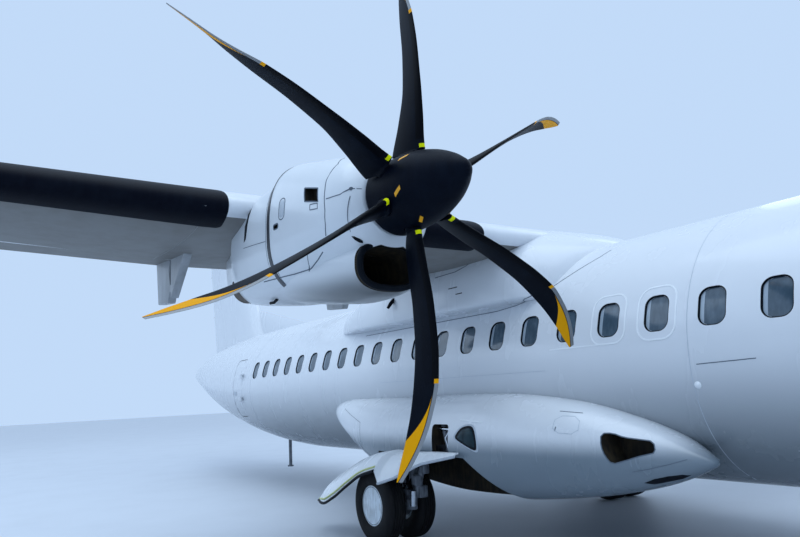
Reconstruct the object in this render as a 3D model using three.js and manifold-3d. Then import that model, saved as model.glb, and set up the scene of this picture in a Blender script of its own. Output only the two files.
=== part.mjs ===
// Twin turboprop airliner with a high wing and a T-tail, parked on its landing gear.
// Millimetres. +X points to the nose, +Y to port and +Z up. The origin lies on the
// ground, under the middle of the aircraft's length.
import * as THREE from 'three';
import { mergeVertices } from 'three/addons/utils/BufferGeometryUtils.js';
import Module from 'manifold-3d';

const wasm = await Module();
wasm.setup();

// Driving dimensions
const LENGTH = 27166;
const HEIGHT = 7650;
const SPAN = 27050;
const GAP = 0.3;
const CLEAR = 8;
const SIDES = { left: 1, right: -1 };

const PROP = { station: 8572, y: 4050, z: 3131, radius: 1965, blades: 6, phase: 0.25 };
const WING = {
  lead: 10502, height: 3482, chord: 2570, ratio: 0.18, incidence: 2,
  breakY: 4900, tipY: SPAN / 2, tipLead: 710, tipChord: 1590, tipRatio: 0.13, dihedral: 2.5, camber: 0.025,
};
const FIN = {
  foot: 3000, top: 7215, lead: 21030, footChord: 4150, topLead: 23850, topChord: 2170, ratio: 0.12, hinge: 0.66,
};
const TAIL = { lead: 24640, z: 7330, chord: 1960, half: 3655, tipLead: 25120, tipChord: 1250, ratio: 0.11, hinge: 0.65 };
const MAIN_WHEEL = { station: 12162, y: 2050, spread: 215, radius: 432, width: 254, rim: 215 };
const NOSE_WHEEL = { station: 1420, spread: 190, radius: 225, width: 190, rim: 112 };

// Colours
const WHITE = { color: '#dfe5ee', roughness: 0.3, metalness: 0 };
const BLACK = { color: '#15181d', roughness: 0.55, metalness: 0 };
const RUBBER = { color: '#1a1b1e', roughness: 0.85, metalness: 0 };
const STEEL = { color: '#8b8f96', roughness: 0.4, metalness: 0.7 };
const GLASS = { color: '#1b242c', roughness: 0.1, metalness: 0 };

// Distance aft of the nose to X
const at = (station) => LENGTH / 2 - station;
const radians = THREE.MathUtils.degToRad;

// A solid from a closed geometry, its faces turned outwards
const toSolid = (geometry) => {
  const plain = new THREE.BufferGeometry().copy(geometry);
  plain.deleteAttribute('normal');
  plain.deleteAttribute('uv');
  const merged = mergeVertices(plain, 1e-3);
  const build = (flip) => {
    const triVerts = new Uint32Array(merged.index.array);
    if (flip) triVerts.reverse();
    const vertProperties = new Float32Array(merged.attributes.position.array);
    return new wasm.Manifold(new wasm.Mesh({ numProp: 3, vertProperties, triVerts }));
  };
  const solid = build(false);
  return solid.volume() > 0 ? solid : build(true);
};

const join = (...solids) => solids.reduce((sum, solid) => sum.add(solid));
const cut = (solid, ...cutters) => cutters.reduce((rest, cutter) => rest.subtract(cutter), solid);
const largest = (solid) => solid.decompose().reduce((best, piece) => (piece.volume() > best.volume() ? piece : best));

const group = new THREE.Group();

const addMesh = (name, solid, finish, parent = group) => {
  const result = solid.getMesh();
  const geometry = new THREE.BufferGeometry();
  geometry.setAttribute('position', new THREE.BufferAttribute(new Float32Array(result.vertProperties), 3));
  geometry.setIndex(new THREE.BufferAttribute(new Uint32Array(result.triVerts), 1));
  const mesh = new THREE.Mesh(geometry, new THREE.MeshStandardMaterial(finish));
  mesh.name = name;
  parent.add(mesh);
};

const placed = (name, x, y, z) => {
  const holder = new THREE.Group();
  holder.name = name;
  holder.position.set(x, y, z);
  group.add(holder);
  return holder;
};

// Loops of [u, v] points

const signedArea = (loop) => loop.reduce((sum, [u, v], i) => {
  const [nextU, nextV] = loop[(i + 1) % loop.length];
  return sum + (u * nextV - nextU * v) / 2;
}, 0);

// Moves a loop outwards by a distance, with mitred corners
const grown = (loop, by) => {
  if (by === 0) return loop;
  const side = Math.sign(signedArea(loop)) * by;
  const sharpest = 0.5;
  return loop.map(([u, v], i) => {
    const [lastU, lastV] = loop.at(i - 1);
    const [nextU, nextV] = loop[(i + 1) % loop.length];
    const before = new THREE.Vector2(v - lastV, lastU - u).normalize();
    const after = new THREE.Vector2(nextV - v, u - nextU).normalize();
    const both = before.add(after);
    const reach = (2 * side) / Math.max(both.lengthSq(), sharpest);
    return [u + both.x * reach, v + both.y * reach];
  });
};

// Skin through a row of rings with equal counts, with a fan over each end
class LoftGeometry extends THREE.BufferGeometry {
  constructor(rings) {
    super();
    const count = rings[0].length;
    const middle = (ring) => ring.reduce((sum, point) => sum.add(point), new THREE.Vector3()).divideScalar(count);
    const points = rings.flat();
    const first = points.push(middle(rings[0])) - 1;
    const last = points.push(middle(rings.at(-1))) - 1;
    const lastRow = (rings.length - 1) * count;
    const faces = [];
    for (let k = 0; k < count; k++) {
      const next = (k + 1) % count;
      for (let row = 0; row < lastRow; row += count) {
        faces.push(row + k, row + next, row + count + next, row + k, row + count + next, row + count + k);
      }
      faces.push(first, next, k, last, lastRow + k, lastRow + next);
    }
    this.setFromPoints(points);
    this.setIndex(faces);
  }
}

const loft = (rings) => toSolid(new LoftGeometry(rings));

const box = (x0, x1, y0, y1, z0, z1) => {
  const geometry = new THREE.BoxGeometry(x1 - x0, Math.abs(y1 - y0), z1 - z0);
  return toSolid(geometry.translate((x0 + x1) / 2, (y0 + y1) / 2, (z0 + z1) / 2));
};

// Round bar between two points, with an optional second radius
const bar = (from, to, radius, endRadius = radius, facets = 16) => {
  const axis = to.clone().sub(from);
  const geometry = new THREE.CylinderGeometry(endRadius, radius, axis.length(), facets);
  const turn = new THREE.Quaternion().setFromUnitVectors(new THREE.Vector3(0, 1, 0), axis.clone().normalize());
  geometry.applyQuaternion(turn);
  const middle = from.clone().add(to).divideScalar(2);
  return toSolid(geometry.translate(middle.x, middle.y, middle.z));
};

const point = (x, y, z) => new THREE.Vector3(x, y, z);

// Lathe about an axis along Y; the profile is [radius, y]
const turned = (profile, facets) => toSolid(
  new THREE.LatheGeometry(profile.map(([radius, y]) => new THREE.Vector2(radius, y)), facets),
);

// Prism of a shape drawn in X and Z, between two values of Y
const sidePrism = (shape, y0, y1, curveSegments = 3) => {
  const geometry = new THREE.ExtrudeGeometry(shape, { depth: Math.abs(y1 - y0), bevelEnabled: false, curveSegments });
  geometry.rotateX(Math.PI / 2);
  return toSolid(geometry.translate(0, Math.max(y0, y1), 0));
};

const roundedPanel = (x0, x1, z0, z1, radius) => {
  const shape = new THREE.Shape();
  shape.moveTo(x0 + radius, z0);
  shape.lineTo(x1 - radius, z0);
  shape.absarc(x1 - radius, z0 + radius, radius, -Math.PI / 2, 0);
  shape.lineTo(x1, z1 - radius);
  shape.absarc(x1 - radius, z1 - radius, radius, 0, Math.PI / 2);
  shape.lineTo(x0 + radius, z1);
  shape.absarc(x0 + radius, z1 - radius, radius, Math.PI / 2, Math.PI);
  shape.lineTo(x0, z0 + radius);
  shape.absarc(x0 + radius, z0 + radius, radius, Math.PI, Math.PI * 1.5);
  return shape;
};

// Smooth value between the rows of a table, with no overshoot
const slopes = (rows, key) => rows.map((row, i) => {
  if (i === 0 || i === rows.length - 1) return 0;
  const [last, next] = [rows[i - 1], rows[i + 1]];
  const before = (row[key] - last[key]) / (row.at - last.at);
  const after = (next[key] - row[key]) / (next.at - row.at);
  return before * after <= 0 ? 0 : (2 * before * after) / (before + after);
});

const valueAt = (rows, key, where) => {
  const clamped = THREE.MathUtils.clamp(where, rows[0].at, rows.at(-1).at);
  const i = Math.max(1, rows.findIndex((row) => row.at >= clamped));
  const [a, b] = [rows[i - 1], rows[i]];
  const steps = slopes(rows, key);
  const span = b.at - a.at;
  const t = (clamped - a.at) / span;
  const firstSlope = i === 1 ? (b[key] - a[key]) / span : steps[i - 1];
  const lastSlope = i === rows.length - 1 ? (b[key] - a[key]) / span : steps[i];
  return (2 * t ** 3 - 3 * t ** 2 + 1) * a[key] + (t ** 3 - 2 * t ** 2 + t) * span * firstSlope
    + (3 * t ** 2 - 2 * t ** 3) * b[key] + (t ** 3 - t ** 2) * span * lastSlope;
};

// A hull runs along X. Each row gives its top and bottom, its widest height, its half width
// and how square its upper and lower halves are (2 is an ellipse).
class Hull {
  constructor(columns, table, middleY, facets) {
    this.rows = table.map((values) => Object.fromEntries(columns.map((name, i) => [name, values[i]])));
    this.middleY = middleY;
    this.facets = facets;
  }

  at(station) {
    const value = (key) => valueAt(this.rows, key, station);
    return {
      top: value('top'), bottom: value('bottom'), wide: value('wide'), half: value('half'),
      upper: value('upper'), lower: value('lower'),
    };
  }

  loop(station) {
    const { top, bottom, wide, half, upper, lower } = this.at(station);
    return Array.from({ length: this.facets }, (_, k) => {
      const angle = (2 * Math.PI * k) / this.facets;
      const [c, s] = [Math.cos(angle), Math.sin(angle)];
      const power = 2 / (s >= 0 ? upper : lower);
      const height = s >= 0 ? top - wide : wide - bottom;
      return [
        this.middleY + half * Math.sign(c) * Math.abs(c) ** power,
        wide + height * Math.sign(s) * Math.abs(s) ** power,
      ];
    });
  }

  solid(stations, growth = 0) {
    return loft(stations.map((station) => grown(this.loop(station), growth).map(([y, z]) => point(at(station), y, z))));
  }

  skinY(station, z) {
    const { top, bottom, wide, half, upper, lower } = this.at(station);
    const power = z >= wide ? upper : lower;
    const share = Math.abs(z - wide) / (z >= wide ? top - wide : wide - bottom);
    return half * (1 - share ** power) ** (1 / power);
  }
}

const HULL_COLUMNS = ['at', 'top', 'bottom', 'wide', 'half', 'upper', 'lower'];

// Fuselage
const fuselage = new Hull(HULL_COLUMNS, [
  [0, 1700, 1600, 1650, 55, 2, 2],
  [100, 1905, 1400, 1650, 250, 2, 2],
  [300, 2090, 1240, 1660, 440, 2, 2],
  [600, 2260, 1110, 1680, 640, 2, 2],
  [1000, 2420, 1000, 1720, 850, 2, 2.05],
  [1300, 2520, 940, 1760, 980, 2, 2.1],
  [1700, 2790, 880, 1810, 1110, 2, 2.1],
  [2100, 3040, 835, 1850, 1215, 2, 2.15],
  [2600, 3210, 790, 1890, 1310, 2, 2.2],
  [3200, 3330, 750, 1925, 1390, 2, 2.2],
  [3900, 3376, 735, 1944, 1432, 2, 2.2],
  [17300, 3376, 735, 1944, 1432, 2, 2.2],
  [18400, 3376, 780, 1950, 1426, 2, 2.2],
  [19500, 3372, 890, 1985, 1398, 2, 2.2],
  [20700, 3360, 1070, 2060, 1320, 2, 2.15],
  [22000, 3325, 1300, 2160, 1165, 2, 2.1],
  [23400, 3245, 1600, 2290, 930, 2, 2.05],
  [24800, 3110, 1930, 2420, 650, 2, 2],
  [26000, 2930, 2230, 2515, 380, 2, 2],
  [26900, 2730, 2460, 2570, 150, 2, 2],
  [LENGTH, 2620, 2530, 2575, 50, 2, 2],
], 0, 36);

const SECTIONS = [
  { name: 'radome', stations: [0, 60, 250, 620] },
  { name: 'nose_section', stations: [620, 1000, 1300, 1600, 1900, 2200, 2550, 2900] },
  { name: 'forward_fuselage', stations: [2900, 3350, 3900, 9300] },
  { name: 'centre_fuselage', stations: [9300, 14300] },
  { name: 'rear_fuselage', stations: [14300, 17300, 18000, 18700] },
  { name: 'tail_section', stations: [18700, 19600, 20800, 22200, 23600, 24800] },
  { name: 'tail_cone', stations: [24800, 25800, 26600, LENGTH] },
];
const BODY_STATIONS = [...new Set(SECTIONS.flatMap((section) => section.stations))];

// The whole fuselage, or the stretch of it between two stations, moved in or out by a distance
const body = (from, to, growth) => {
  const between = BODY_STATIONS.filter((station) => station > from && station < to);
  return fuselage.solid([from, ...between, to], growth);
};

const DOOR = { thickness: 60, pocket: 92, rod: 18, play: 0.6, knuckle: 150, corner: 110, proud: 12, room: 12, lug: 90 };
const PASSENGER = { from: 19190, to: 19960, foot: 1390, head: 3110, side: 1, section: 'tail_section' };
const CARGO = { from: 3120, to: 4395, foot: 1150, head: 2680, side: 1, section: 'forward_fuselage' };
const SERVICE = { from: 19230, to: 19840, foot: 1400, head: 2620, side: -1, section: 'tail_section' };

const doorPrism = ({ from, to, foot, head, side }, growth) => sidePrism(
  roundedPanel(at(to) - growth, at(from) + growth, foot - growth, head + growth, DOOR.corner + growth),
  side * 500, side * 1700,
);

const doorPanel = (door) => cut(
  body(door.from - 50, door.to + 50, 0).intersect(doorPrism(door, 0)),
  body(door.from - 100, door.to + 100, -DOOR.thickness),
);

const doorPocket = (door) => cut(doorPrism(door, DOOR.room), body(door.from - 100, door.to + 100, -DOOR.pocket));

// A hinge line just outside the skin, between the rounded corners of a door
const hingeLine = (door, z) => {
  const [start, end] = [door.from + DOOR.corner, door.to - DOOR.corner].map(
    (station) => point(at(station), door.side * (fuselage.skinY(station, z) + DOOR.proud), z),
  );
  const along = end.clone().sub(start).normalize();
  return { start, end, along };
};

// Bars on the hinge line, each the same stretch in from one of its ends
const onHinge = ({ start, end, along }, from, to, radius) => join(
  bar(start.clone().addScaledVector(along, from), start.clone().addScaledVector(along, to), radius),
  bar(end.clone().addScaledVector(along, -to), end.clone().addScaledVector(along, -from), radius),
);

const doorKnuckles = (door, z, growth = 0) => (
  onHinge(hingeLine(door, z), -growth, DOOR.knuckle + growth, DOOR.rod + growth)
);

// The fuselage's own knuckles, beside those of the door, each on a lug that leans into the skin
const fixedKnuckles = (door, z, growth = 0) => (
  onHinge(hingeLine(door, z), DOOR.knuckle + DOOR.play - growth, DOOR.knuckle + DOOR.lug + growth, DOOR.rod + growth)
);

const hingeLugs = (door, z, away) => {
  const { start, end, along } = hingeLine(door, z);
  const middle = DOOR.knuckle + DOOR.lug / 2;
  return join(...[start.clone().addScaledVector(along, middle), end.clone().addScaledVector(along, -middle)].map(
    (spot) => bar(spot.clone().add(point(0, 0, away * 8)), spot.clone().add(point(0, -door.side * 110, away * 60)), 12, 12, 8),
  ));
};

// Service door: two arms at its forward edge turn on an upright axis just outside the skin
const ARM = { heights: [1750, 2230], eye: 24, tall: 50, out: 34, ahead: 40 };
const armAxis = () => point(at(SERVICE.from) + ARM.ahead, -(fuselage.at(SERVICE.from).half + ARM.out), 0);

const serviceArms = () => {
  const axis = armAxis();
  return join(...ARM.heights.map((z) => join(
    bar(point(axis.x, axis.y, z), point(axis.x, axis.y, z + ARM.tall), ARM.eye),
    box(axis.x - ARM.ahead - 90, axis.x, axis.y, axis.y + ARM.out + 50, z, z + ARM.tall),
  )));
};

const serviceBrackets = () => {
  const axis = armAxis();
  return join(...ARM.heights.flatMap((z) => [z - DOOR.play - 30, z + ARM.tall + DOOR.play].map((foot) => join(
    bar(point(axis.x, axis.y, foot), point(axis.x, axis.y, foot + 30), ARM.eye),
    box(axis.x - 10, axis.x + ARM.eye, axis.y, axis.y + 120, foot, foot + 30),
  ))));
};

const serviceArmRoom = () => {
  const axis = armAxis();
  return join(...ARM.heights.map((z) => box(
    axis.x - ARM.ahead - 110, axis.x + ARM.eye + CLEAR, axis.y - 60, axis.y + ARM.out + 60, z - DOOR.play, z + ARM.tall + DOOR.play,
  )));
};

// Cockpit glazing: one band round the nose, between two slanting lines
const GLAZING = { thickness: 26, frontLow: 1330, frontHigh: 2010, low: 2470, high: 2990, back: 2820 };
const glazingPrism = (growth) => {
  const shape = new THREE.Shape([
    new THREE.Vector2(at(GLAZING.frontLow) + 700, GLAZING.low - growth),
    new THREE.Vector2(at(GLAZING.frontHigh) + 700, GLAZING.high + growth),
    new THREE.Vector2(at(GLAZING.back - 330) - growth, GLAZING.high + growth),
    new THREE.Vector2(at(GLAZING.back) - growth, GLAZING.high - 170),
    new THREE.Vector2(at(GLAZING.back) - growth, GLAZING.low - growth),
  ]);
  return sidePrism(shape, -1500, 1500);
};

// Nose wheel bay
const BAY = { from: 880, to: 1840, half: 270, roof: 1290 };

const makeFuselage = () => {
  const inner = body(640, 2880, -GLAZING.thickness);
  const innerPocket = body(640, 2880, -GLAZING.thickness - GAP);
  const finish = (name) => (name === 'radome' ? { ...WHITE, roughness: 0.4 } : WHITE);
  const cuts = {
    nose_section: [
      cut(glazingPrism(GAP), innerPocket),
      box(at(BAY.to), at(BAY.from), -BAY.half, BAY.half, 0, BAY.roof),
    ],
    centre_fuselage: [wingSkin([-2000, 2000], GAP)],
    forward_fuselage: [doorPocket(CARGO), doorKnuckles(CARGO, CARGO.head, DOOR.play)],
    tail_section: [
      doorPocket(PASSENGER), doorKnuckles(PASSENGER, PASSENGER.foot, DOOR.play),
      doorPocket(SERVICE), serviceArmRoom(),
    ],
  };
  const hinges = {
    forward_fuselage: [fixedKnuckles(CARGO, CARGO.head), hingeLugs(CARGO, CARGO.head, 1)],
    tail_section: [
      fixedKnuckles(PASSENGER, PASSENGER.foot), hingeLugs(PASSENGER, PASSENGER.foot, -1), serviceBrackets(),
    ],
  };
  SECTIONS.forEach(({ name, stations }) => {
    const [from, to] = [stations[0], stations.at(-1)];
    const start = from === 0 ? 0 : from + GAP / 2;
    const end = to === LENGTH ? to : to - GAP / 2;
    let solid = cut(body(start, end, 0), ...(cuts[name] ?? []));
    solid = join(solid, ...(hinges[name] ?? []));
    addMesh(name, largest(solid), finish(name));
  });
  addMesh('cockpit_glazing', largest(cut(body(640, 2880, 0).intersect(glazingPrism(0)), inner)), GLASS);
  const hinged = (door, z) => join(cut(doorPanel(door), fixedKnuckles(door, z, DOOR.play)), doorKnuckles(door, z));
  addMesh('passenger_door', largest(hinged(PASSENGER, PASSENGER.foot)), WHITE);
  addMesh('cargo_door', largest(hinged(CARGO, CARGO.head)), WHITE);
  addMesh('service_door', join(doorPanel(SERVICE), serviceArms()), WHITE);
};

// Aerofoil sections

const foilHalf = (x) => 5 * (0.2969 * Math.sqrt(x) - 0.126 * x - 0.3516 * x ** 2 + 0.2843 * x ** 3 - 0.1036 * x ** 4);

const camberLine = (x, camber) => {
  const peak = 0.4;
  return x < peak
    ? (camber / peak ** 2) * (2 * peak * x - x * x)
    : (camber / (1 - peak) ** 2) * (1 - 2 * peak + 2 * peak * x - x * x);
};

// Closed loop of [aft, up], from the trailing edge over the top to the nose and back below
const foilLoop = (chord, ratio, camber, count) => Array.from({ length: 2 * count }, (_, i) => {
  const x = (1 + Math.cos((Math.PI * i) / count)) / 2;
  const side = i <= count ? 1 : -1;
  return [x * chord, (camberLine(x, camber) + side * ratio * foilHalf(x)) * chord];
});

// The hinge circle of a control surface, and the bay that it turns in
const hingeCircle = (chord, ratio, camber, share) => ({
  aft: share * chord,
  up: camberLine(share, camber) * chord,
  radius: ratio * foilHalf(share) * chord,
});

// The nose arc is stretched aft where the sections slant across the hinge line
const noseArc = (centre, radius, stretch) => Array.from({ length: 9 }, (_, i) => {
  const angle = Math.PI * (0.5 + i / 8);
  return [centre.aft + radius * stretch * Math.cos(angle), centre.up + radius * Math.sin(angle)];
});

const bayLoop = (chord, circle, clearance, stretch = 1) => {
  const radius = circle.radius + clearance;
  const end = chord + 150;
  return [
    ...noseArc(circle, radius, stretch),
    [end, circle.up - radius - 40],
    [end, circle.up + radius + 40],
  ];
};

const surfaceLoop = (chord, ratio, camber, share, stretch = 1) => {
  const circle = hingeCircle(chord, ratio, camber, share);
  const xs = [0.35, 0.7].map((k) => share + (1 - share) * k);
  const skin = (x, side) => [x * chord, (camberLine(x, camber) + side * ratio * foilHalf(x)) * chord];
  return [
    ...noseArc(circle, circle.radius, stretch),
    ...xs.map((x) => skin(x, -1)),
    [chord - 2, camberLine(1, camber) * chord - 2],
    [chord - 2, camberLine(1, camber) * chord + 2],
    ...xs.toReversed().map((x) => skin(x, 1)),
  ];
};

// Wing

const wingAt = (y) => {
  const out = Math.max(0, Math.abs(y) - WING.breakY);
  const k = out / (WING.tipY - WING.breakY);
  return {
    lead: WING.lead + WING.tipLead * k,
    height: WING.height + Math.tan(radians(WING.dihedral)) * out,
    chord: THREE.MathUtils.lerp(WING.chord, WING.tipChord, k),
    ratio: THREE.MathUtils.lerp(WING.ratio, WING.tipRatio, k),
    tilt: radians(WING.incidence),
  };
};

// Puts a loop of [aft, up] at a spanwise place on the wing
const onWing = (y, [aft, up]) => {
  const { lead, height, tilt } = wingAt(y);
  return point(
    at(lead + aft * Math.cos(tilt) + up * Math.sin(tilt)), y, height - aft * Math.sin(tilt) + up * Math.cos(tilt),
  );
};

const wingLoft = (ys, loopAt) => loft(ys.map((y) => loopAt(wingAt(y)).map((spot) => onWing(y, spot))));
const wingSkin = (ys, growth = 0) => wingLoft(ys, ({ chord, ratio }) => (
  grown(foilLoop(chord, ratio, WING.camber, 10), growth)
));

const FLAP = { share: 0.74, inner: [1560, 3380], outer: [4620, 9500], drop: 330, pivot: 42, play: 0.5 };
const AILERON = { share: 0.76, span: [9620, 12950], pin: 10 };

const bay = ([y0, y1], share, side) => wingLoft([side * (y0 - CLEAR), side * (y1 + CLEAR)], ({ chord, ratio }) => (
  bayLoop(chord, hingeCircle(chord, ratio, WING.camber, share), CLEAR)
));

const movingSurface = ([y0, y1], share, side) => wingLoft([side * y0, side * y1], ({ chord, ratio }) => (
  surfaceLoop(chord, ratio, WING.camber, share)
));

// Pivot of a flap, below the wing in its track fairing
const flapPivot = (y, side) => {
  const { chord, ratio } = wingAt(y);
  const circle = hingeCircle(chord, ratio, WING.camber, FLAP.share);
  return onWing(side * y, [circle.aft, circle.up - circle.radius - FLAP.drop]);
};

// Spine of the line that the flap turns on
const flapLine = (range, side) => range.map((y) => flapPivot(y, side));

// Its lines run down from the wing's underside to a short flat foot
const FAIRING = { half: 45, nose: 520, toe: 50, heel: 530, tail: 645, depth: 115, foot: 155 };

// One track fairing: its front is fixed under the wing, its rear turns with the flap
const trackFairing = (y, side, range) => {
  const [start, end] = flapLine(range, side);
  const share = (y - range[0]) / (range[1] - range[0]);
  const pivot = start.clone().lerp(end, share);
  const along = end.clone().sub(start).normalize();
  const shape = (points) => new THREE.Shape(points.map(([dx, dz]) => new THREE.Vector2(pivot.x + dx, pivot.z + dz)));
  const y0 = side * y - FAIRING.half;
  const y1 = side * y + FAIRING.half;
  const front = sidePrism(shape([
    [0, -FAIRING.depth], [FAIRING.nose, FLAP.drop - 35], [FAIRING.nose, FLAP.drop + 110], [0, FLAP.drop + 110],
  ]), y0, y1);
  const rear = sidePrism(shape([
    [0, FLAP.drop + 60], [0, -FAIRING.depth], [-FAIRING.toe, -FAIRING.foot], [-FAIRING.heel, -FAIRING.depth], [-FAIRING.tail, FLAP.drop + 53],
  ]), y0, y1);
  const rod = (radius, reach) => bar(
    pivot.clone().addScaledVector(along, -reach), pivot.clone().addScaledVector(along, reach), radius, radius, 32,
  );
  return { front, rear, pin: rod(FLAP.pivot, FAIRING.half), socket: rod(FLAP.pivot + FLAP.play, 2 * FAIRING.half), y0, y1, pivot };
};

// The outer flap has one track beside the nacelle and one on the outer wing
const TRACKS = { inner: [2470], outer: [4672, 8400] };

const makeFlap = (name, side, range, tracks) => {
  const surface = movingSurface(range, FLAP.share, side);
  const fairings = tracks.map((y) => trackFairing(y, side, range));
  // What turns stays behind a slanting face through each pivot
  const behind = ({ pivot, y0, y1 }) => sidePrism(new THREE.Shape([
    [-300, -400], [-10, 0], [-10, 10], [-70, 160], [-70, 500], [-2000, 500], [-2000, -400],
  ].map(([dx, dz]) => new THREE.Vector2(pivot.x + dx, pivot.z + dz))), y0, y1);
  const rears = fairings.map((fairing) => join(
    fairing.rear.intersect(behind(fairing)), fairing.pin,
  ));
  addMesh(name, largest(join(surface, ...rears)), WHITE);
};

// The fixed front of a track fairing, with the room its flap needs
const fixedTrack = (y, side, range) => {
  const { front, socket, pivot, y0, y1 } = trackFairing(y, side, range);
  const ahead = sidePrism(new THREE.Shape([
    [8, -400], [8, 0], [8, 500], [2000, 500], [2000, -400],
  ].map(([dx, dz]) => new THREE.Vector2(pivot.x + dx, pivot.z + dz))), y0, y1);
  return cut(front.intersect(ahead), socket, bay(range, FLAP.share, side));
};

const pinsAlong = (start, end, reach, radius) => {
  const along = end.clone().sub(start).normalize();
  return [
    bar(start.clone().addScaledVector(along, -reach), start.clone().addScaledVector(along, 60), radius, radius, 10),
    bar(end.clone().addScaledVector(along, -60), end.clone().addScaledVector(along, reach), radius, radius, 10),
  ];
};

const aileronAxis = (side) => AILERON.span.map((y) => {
  const { chord, ratio } = wingAt(y);
  const circle = hingeCircle(chord, ratio, WING.camber, AILERON.share);
  return onWing(side * y, [circle.aft, circle.up]);
});

const TIP = { from: 13100, rows: [[13100, 1, 0], [13300, 0.9, 70], [13430, 0.72, 210], [13500, 0.45, 420], [WING.tipY, 0.2, 640]] };

const makeWing = () => {
  const inner = cut(
    wingSkin([-WING.breakY + GAP / 2, WING.breakY - GAP / 2]),
    ...Object.values(SIDES).flatMap((side) => [
      bay(FLAP.inner, FLAP.share, side), bay(FLAP.outer, FLAP.share, side), engineRoom(side),
    ]),
  );
  const [besideNacelle, outboard] = TRACKS.outer;
  const innerTracks = Object.values(SIDES).flatMap((side) => [
    ...TRACKS.inner.map((y) => fixedTrack(y, side, FLAP.inner)), fixedTrack(besideNacelle, side, FLAP.outer),
  ]);
  addMesh('wing_centre', largest(join(inner, ...innerTracks)), WHITE);
  Object.entries(SIDES).forEach(([hand, side]) => {
    const ys = [WING.breakY + GAP / 2, 9560, TIP.from - GAP / 2].map((y) => side * y);
    const [start, end] = aileronAxis(side);
    const sockets = pinsAlong(start, end, CLEAR + 40 + 2, AILERON.pin + 0.5);
    const outer = cut(
      wingSkin(ys), bay(FLAP.outer, FLAP.share, side), bay(AILERON.span, AILERON.share, side), ...sockets,
    );
    addMesh(`wing_outer_${hand}`, largest(join(outer, fixedTrack(outboard, side, FLAP.outer))), WHITE);
    const aileron = join(
      movingSurface(AILERON.span, AILERON.share, side), ...pinsAlong(start, end, CLEAR + 40, AILERON.pin),
    );
    addMesh(`aileron_${hand}`, aileron, WHITE);
    makeFlap(`flap_inner_${hand}`, side, FLAP.inner, TRACKS.inner);
    makeFlap(`flap_outer_${hand}`, side, FLAP.outer, TRACKS.outer);
    const tip = loft(TIP.rows.map(([y, share, back], i) => {
      const { chord, ratio } = wingAt(y);
      const where = i === 0 ? y + GAP / 2 : y;
      return foilLoop(chord * share, ratio, WING.camber, 10).map(([aft, up]) => onWing(side * where, [aft + back, up]));
    }));
    addMesh(`wing_tip_${hand}`, tip, WHITE);
  });
};

// Fairing over the wing root
const fairing = new Hull(HULL_COLUMNS, [
  [9720, 3290, 2700, 2760, 420, 2.2, 6],
  [10120, 3480, 2700, 2780, 1120, 2.3, 6],
  [10500, 3620, 2700, 2800, 1395, 2.5, 6],
  [11200, 3775, 2700, 2800, 1452, 2.7, 6],
  [12200, 3780, 2700, 2800, 1456, 2.7, 6],
  [13200, 3690, 2700, 2800, 1452, 2.6, 6],
  [14000, 3550, 2715, 2800, 1420, 2.4, 6],
  [14900, 3385, 2730, 2800, 1200, 2.2, 6],
], 0, 26);

const makeFairing = () => {
  const stations = [9720, 10120, 10500, 11200, 12200, 13200, 14000, 14900];
  const solid = cut(fairing.solid(stations), body(9000, 15600, GAP), wingSkin([-2000, 2000], GAP), ...[1, -1].map(
    (side) => bay([FLAP.inner[0] - 300, FLAP.inner[1]], FLAP.share, side),
  ));
  addMesh('wing_fairing', largest(solid), WHITE);
};

// Gear pods on the flanks of the belly
const podRows = [
  [8300, 1085, 1015, 1050, 60, 2.2, 2.2],
  [8900, 1400, 790, 1090, 350, 2.3, 2.4],
  [9700, 1600, 640, 1110, 520, 2.4, 2.6],
  [10700, 1690, 540, 1110, 600, 2.5, 2.8],
  [11700, 1700, 510, 1110, 620, 2.5, 2.8],
  [12700, 1685, 580, 1130, 600, 2.4, 2.6],
  [13500, 1690, 850, 1230, 510, 2.4, 2.5],
  [14100, 1690, 1090, 1370, 400, 2.3, 2.4],
  [14500, 1670, 1270, 1450, 290, 2.2, 2.2],
  [14720, 1620, 1390, 1500, 180, 2, 2],
  [14790, 1560, 1450, 1505, 80, 2, 2],
];
const POD_Y = 1290;
// The well has a skirt of outer skin that hangs down to the gear door
const WELL = { ahead: 1030, behind: 620, rake: 1280, low: 300, roof: 1120, inner: 1180, skirt: 1850, sill: 1005 };
const SLOT = { from: 650, to: 960, inner: 1650, top: 1365 };

const makePods = () => Object.entries(SIDES).forEach(([hand, side]) => {
  const pod = new Hull(HULL_COLUMNS, podRows, side * POD_Y, 24);
  const solid = pod.solid([8300, 8550, 8900, 9700, 10700, 11700, 12700, 13500, 14100, 14500, 14720, 14790]);
  const x = at(MAIN_WHEEL.station);
  const wellTo = (roof, y0, y1) => sidePrism(new THREE.Shape([
    [-WELL.behind, WELL.low], [WELL.ahead + WELL.rake, WELL.low],
    [WELL.ahead + (WELL.rake * (WELL.roof - roof)) / (WELL.roof - WELL.low), roof], [-WELL.behind, roof],
  ].map(([along, z]) => new THREE.Vector2(x + along, z))), side * y0, side * y1);
  const slot = box(x + SLOT.from, x + SLOT.to, side * SLOT.inner, side * 2200, WELL.sill - 50, SLOT.top);
  addMesh(`gear_pod_${hand}`, largest(cut(
    solid, body(8000, 15100, GAP), wellTo(WELL.roof, WELL.inner, WELL.skirt), wellTo(WELL.sill, WELL.inner, 2200), slot,
  )), WHITE);
});

// Nacelles
const engineSpan = (side, half) => [side * PROP.y - half, side * PROP.y + half];
const engineRoom = (side) => {
  const { length, width, height, nose, z, room } = ENGINE;
  return box(
    at(nose + length) - room, at(nose) + room, ...engineSpan(side, width / 2 + GAP),
    z - height / 2 - GAP, z + height / 2 + room,
  );
};

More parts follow.
